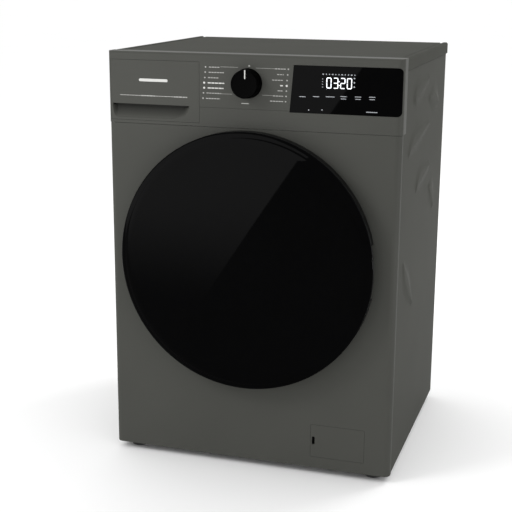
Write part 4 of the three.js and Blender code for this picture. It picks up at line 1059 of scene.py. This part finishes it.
def rear_sheets():
    """The back wall with its pressings, the belt's cover, their screws and the transit caps."""
    low, high = REAR_LOW, REAR_HIGH
    cover_low, cover_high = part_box("rear_access_cover")
    motor_z = box_and_middle("motor_pulley")[2].z

    def pear(big_r, small_r, y0, y1):
        """A block round the drum's axis and the motor's."""
        return extruded(loop_outline(big_r, small_r, AXIS_Z, motor_z), y0, y1)

    sheet = box_object(low, high)
    reach = (low.y - PAST, high.y + PAST)
    tools = [pear(0.150, 0.045, *reach)]
    for node, r in (("inlet_valve", 14), ("drain_outlet", 15.5), ("mains_inlet_gland", 9)):
        top, middle = box_and_middle(node)[1:]
        z = top.z - INLET_DROP if node == "inlet_valve" else middle.z
        tools.append(drill(r * MM, reach, (middle.x, z)))
    boolean(sheet, tools)
    # a tongue closes the gap under the lid's hollow
    half, skin = TOP_HIGH.x - 14 * MM, 0.2 * MM
    tongue = box_object((-half, low.y + skin, high.z - 2 * MM),
                        (half, high.y - skin, TOP_LOW.z + 5.6 * MM))
    boolean(sheet, [tongue], "UNION")
    soften(sheet, 0.3 * MM, 1, 50)
    piece_for(sheet, "rear_panel", "rear_sheet", zinc)

    ribs = []
    for side in (-1, 1):
        x0, x1 = sorted((side * 0.262, side * 0.222))
        for z0, z1 in ((0.065, 0.30), (0.585, 0.70)):
            pad = extruded(rounded_rect(x0, x1, z0, z1, 0.012, 5), high.y - skin, high.y + 1.8 * MM)
            ribs.append(soften(pad, 1.5 * MM, 3))
    place(joined(ribs), "rear_pressings", zinc, "cabinet")

    seat = cover_low.y + 1.5 * MM
    rim = pear(0.165, 0.060, cover_low.y, seat)
    bulge = soften(pear(0.155, 0.050, cover_low.y - 1 * MM, cover_high.y), 5 * MM, 4, 50)
    slots = [pear(0.1535, 0.0485, cover_low.y - PAST, cover_high.y - 1.5 * MM)]
    boolean(rim, [bulge], "UNION")
    for row in range(-3, 4):
        z, half = AXIS_Z + row * 17 * MM, 2.2 * MM
        slots.append(extruded(rounded_rect(-0.045, 0.045, z - half, z + half, 2.1 * MM, 4),
                              cover_high.y - PAST, cover_high.y + PAST))
    boolean(rim, slots)
    soften(rim, 0.4 * MM, 2, 45)
    piece_for(rim, "rear_access_cover", "rear_cover_pressed", zinc)

    spots = [(0.160 * math.cos(a), seat, AXIS_Z + 0.160 * math.sin(a))
             for a in (0.35, 1.05, math.pi / 2 + 0.5, math.pi - 0.35)]
    spots += [(x, seat, z) for x, z in ((-0.077, 0.2), (0.077, 0.2), (0, motor_z - 55.5 * MM))]
    spots += [(x, high.y, z) for x in (-0.285, 0.285) for z in (0.06, 0.25, 0.44, 0.63, 0.80)]
    spots += [(x, high.y, 0.812) for x in (-0.15, 0, 0.15)]
    screws("rear_screws", "cabinet", 4 * MM, spots)

    dish = [(0, 2.2), (9, 2.2), (11, 3.4), (15, 3.4), (17.5, 2.4), (18.5, 0.2), (18.5, -0.4),
            (0, -0.4)]
    caps = [lathe(in_mm(dish, high.y), 40, (x, z), closed=False)
            for x in (-0.205, 0.205) for z in (0.345, 0.565)]
    place(smooth(joined(caps), 35), "transit_bolt_caps", black_plastic, "cabinet")


def water_fittings():
    high, middle = box_and_middle("inlet_valve")[1:]
    x, z, end = middle.x, high.z - INLET_DROP, high.y
    ring = [(8, -69), (8, -1.5), (9, 0), (11.5, 0), (12.6, -1)]
    for k in range(9):
        ring += [(12.9, -2.4 - 2 * k), (11.7, -3.4 - 2 * k)]
    ring += [(11.6, -24), (11.6, -31), (16, -31), (16, -34.5), (13, -34.5), (13, -52), (12, -52)]
    thread = lathe(in_mm(ring, end), 48, (x, z))
    half = 17.8 * MM
    block = extruded(rounded_rect(x - 21.8 * MM, x + 21.8 * MM, z - half, z + half, 3 * MM),
                     end - 90 * MM, end - 45 * MM)
    hose_end = [(0, -45), (7, -45), (8, -43.5), (7, -40), (8, -38.5), (7.2, -34), (7.2, -15),
                (0, -15)]
    spout = lathe(in_mm(hose_end, z), 24, (x, end - 75 * MM), closed=False, axis="Z")
    soften(block, 1.2 * MM)
    valve = joined([thread, block, spout])
    piece_for(smooth(valve, 35), "inlet_valve", "inlet_valve_thread", white_plastic)
    low, high, middle = box_and_middle("drain_outlet")
    barbs = [(10, low.y / MM), (14, low.y / MM), (14, 269), (19, 269), (19, 271.6), (14, 272.4),
             (14, 277), (15.2, 278), (14, 281.5), (15.2, 282.5), (14, 286), (15.2, 287),
             (14, 291), (16, 294), (14.6, 299), (13.6, 300), (10.6, 300), (10, 299)]
    spigot = lathe(in_mm(barbs), 48, (middle.x, middle.z))
    piece_for(smooth(spigot, 35), "drain_outlet", "drain_spigot", pump_black)


def feet():
    pad = [(0, 0), (18, 0), (19.6, 0.8), (20, 2.2), (19.4, 3.6), (18.4, 4.2), (19.4, 5), (19.2, 7),
           (17.5, 8), (0, 8)]
    stem = [(0, 7.5), (5, 7.5)]
    for k in range(26):
        stem += [(5.1, 9 + 2 * k), (4.3, 10 + 2 * k)]
    stem += [(4.4, 61.4), (3.8, 62), (0, 62)]
    for node in ("foot_front_left", "foot_front_right", "foot_rear_left", "foot_rear_right"):
        middle = box_and_middle(node)[2]
        x, y, body = middle.x, middle.y, BODY_OF[node]
        rubber = lathe(in_mm(pad), 40, (x, y), closed=False, axis="Z")
        piece_for(smooth(rubber, 35), node, node + "_pad", rubber_black)
        screw = lathe(in_mm(stem), 24, (x, y), closed=False, axis="Z")
        place(smooth(screw, 60), node + "_stem", bright_steel, body)
        nut = extruded(dot_loop(x, y, 9 * MM, 6), 8.0 * MM, 12.6 * MM, "Z")
        place(soften(nut, 0.5 * MM), node + "_nut", bright_steel, body)


def filter_flap():
    low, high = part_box("filter_flap")

    def notch(edge, y0, y1):
        """The finger notch's outline, moved out all round by edge."""
        x0, x1, z0, z1 = low.x + 3 * MM, low.x + 9 * MM, low.z + 27 * MM, low.z + 44 * MM
        outline = rounded_rect(x0 - edge, x1 + edge, z0 - edge, z1 + edge, 2.4 * MM, 5)
        return extruded(outline, y0, y1)

    leaf = extruded(node_rect("filter_flap", 0, 2 * MM, 5), low.y, high.y)
    boolean(leaf, [notch(0, low.y - PAST, low.y + PAST)])
    soften(leaf, 0.5 * MM, 2, 50)
    piece_for(leaf, "filter_flap", "filter_flap_leaf", paint)
    backing = notch(1 * MM, high.y - 0.4 * MM, high.y + 1.6 * MM)
    place(backing, "flap_notch_backing", gloss_black, "flap")


def filter_cap():
    """The pump's cap: a dished disc with a scalloped rim, a grip, and a basket behind it."""
    low, high, middle = box_and_middle("filter_cap")
    x, z, basket_r, grip_half = middle.x, middle.z, 20 * MM, 18 * MM
    dish = in_mm([(0, 5.4), (21.4, 5.4), (22.8, 4.6), (23.6, 3.2), (25.6, 3.0), (26.6, 3.5),
                  (27, 4.6), (27, 15), (23, 15)], low.y)
    basket = [(23 * MM, high.y), (basket_r, high.y), (basket_r, low.y + 19 * MM),
              (0, low.y + 19 * MM)]
    cap = lathe(dish + basket, 96, (x, z), closed=False)
    scallops = [extruded(dot_loop(*spot, 2 * MM, 16), low.y - MM, low.y + 12 * MM)
                for spot in arc(x, z, 28.1 * MM, 7.5, 352.5, 23)]
    slots = []
    for k in range(8):
        slot = box_object((-2 * MM, low.y + 30 * MM, 15 * MM), (2 * MM, high.y - 8 * MM, 26 * MM))
        turn = Matrix.Rotation(TAU * k / 8, 4, "Y")
        slot.data.transform(Matrix.Translation((x, 0, z)) @ turn)
        slots.append(slot)
    grip = rounded_rect(x - grip_half, x + grip_half, z - 3.6 * MM, z + 3.6 * MM, 3 * MM, 5)
    grip = soften(extruded(grip, low.y, low.y + 8 * MM), 1.1 * MM, 3)
    boolean(cap, [joined(scallops), joined(slots)])
    boolean(cap, [grip], "UNION")
    piece_for(smooth(cap, 32), "filter_cap", "filter_cap_turned", grey_plastic)


# ---- stage --------------------------------------------------------------------------

def stage():
    reach = 60
    floor = raw_object("studio_floor", [(-reach, -reach, 0), (reach, -reach, 0),
                                        (reach, reach, 0), (-reach, reach, 0)], [(0, 1, 2, 3)])
    material, tree, coords, shader = new_material("floor_white")
    soft = add_noise(tree, coords, 1.5)
    set_inputs(tree, shader, {
        "Base Color": ramp(tree, soft, (0.2, (0.91, 0.91, 0.91)), (0.8, (0.93, 0.93, 0.93))),
        "Roughness": 0.8,
        "Specular IOR Level": 0.1,
    })
    floor.data.materials.append(material)


def area_light(name, place_at, aim, size, energy, roll=0.0, gloss_only=False):
    data = bpy.data.lights.new(name, "AREA")
    data.shape = "RECTANGLE"
    data.size, data.size_y = size
    data.energy = energy
    light = bpy.data.objects.new(name, data)
    scene.collection.objects.link(light)
    turn = (Vector(aim) - Vector(place_at)).to_track_quat("-Z", "Y").to_matrix().to_4x4()
    light.matrix_world = Matrix.Translation(place_at) @ turn @ Matrix.Rotation(roll, 4, "Z")
    light.visible_camera = False
    for ray in ("diffuse", "transmission", "volume_scatter"):
        setattr(light, "visible_" + ray, not gloss_only)
    return light


CARD_GLOW = 4.8  # watts for each square metre of the card, over pi


def fade_to_floor(light, middle_z, rise_along, rise_across):
    """The card's glow falls away smoothly towards the floor."""
    light.data.use_nodes = True
    tree = light.data.node_tree
    on_card = add_node(tree, "ShaderNodeNewGeometry").outputs["Parametric"]
    split = add_node(tree, "ShaderNodeSeparateXYZ", {"Vector": on_card}).outputs
    lowest = middle_z - (rise_along + rise_across) / 2
    along = add_math(tree, "MULTIPLY_ADD", split["X"], rise_along, lowest)
    height = add_math(tree, "MULTIPLY_ADD", split["Y"], rise_across, along)
    inputs = {"Value": height, "From Min": 0.0, "From Max": 0.5}
    fade = add_node(tree, "ShaderNodeMapRange", inputs, interpolation_type="SMOOTHSTEP")
    set_inputs(tree, tree.nodes["Emission"], {"Strength": fade.outputs["Result"]})


def lighting():
    """A bright even room, two soft lights that rake the panels, and two cards for reflections."""
    world = bpy.data.worlds.new("studio")
    scene.world = world
    world.use_nodes = True
    set_inputs(world.node_tree, world.node_tree.nodes["Background"],
               {"Color": (1, 1, 1, 1), "Strength": 1.09})
    for name, spot, watts in (("front_key", (-2.4, -2.4, 2.7), 42),
                              ("rear_key", (2.0, 2.2, 2.7), 35)):
        area_light(name, spot, (0, 0, 0.45), (1.2, 1.2), watts).visible_glossy = False
    # the slanted edge of this card runs across the door and the display
    slope = math.atan2(0.831, 0.5563)
    edge, wide, tall = Vector((-0.262, -1.2, 0.342)), 1.6, 1.5
    middle = edge + Vector((-math.sin(slope), 0, math.cos(slope))) * wide / 2
    card = area_light("slanted_card", middle, middle + Vector((0, 1, 0)), (tall, wide),
                      CARD_GLOW * math.pi * wide * tall, roll=slope, gloss_only=True)
    fade_to_floor(card, middle.z, tall * math.sin(slope), wide * math.cos(slope))
    area_light("corner_strip", (2.27, -0.6, 0.17), (0.3, -0.25, 0.57), (0.25, 0.25), 24,
               gloss_only=True)


def camera():
    data = bpy.data.cameras.new("camera")
    cam = bpy.data.objects.new("camera", data)
    scene.collection.objects.link(cam)
    scene.camera = cam
    yaw, pitch, roll = math.radians(17.63), math.radians(14.25), math.radians(0.36)
    data.sensor_width = 36
    data.lens = 80.16
    cam.location = (0.683, -2.358, 1.014)
    look = (Matrix.Rotation(yaw, 4, "Z") @ Matrix.Rotation(math.pi / 2 - pitch, 4, "X")
            @ Matrix.Rotation(roll, 4, "Z"))
    cam.rotation_euler = look.to_euler()


camera()
stage()
lighting()
scene.view_settings.view_transform = "Standard"

front_panel()
control_fascia()
top_cover()
side_panel(-1, "left_side_panel", "left_side_skin")
side_panel(1, "right_side_panel", "right_side_skin")
drawer_front()
programme_knob()
display_window()
display_marks()
programme_marks()
drawer_marks()
door_cover()
door_outer_frame()
door_inner_frame()
door_glass()
gasket()
drum()
springs()
inside_pieces()
rear_sheets()
water_fittings()
feet()
filter_flap()
filter_cap()
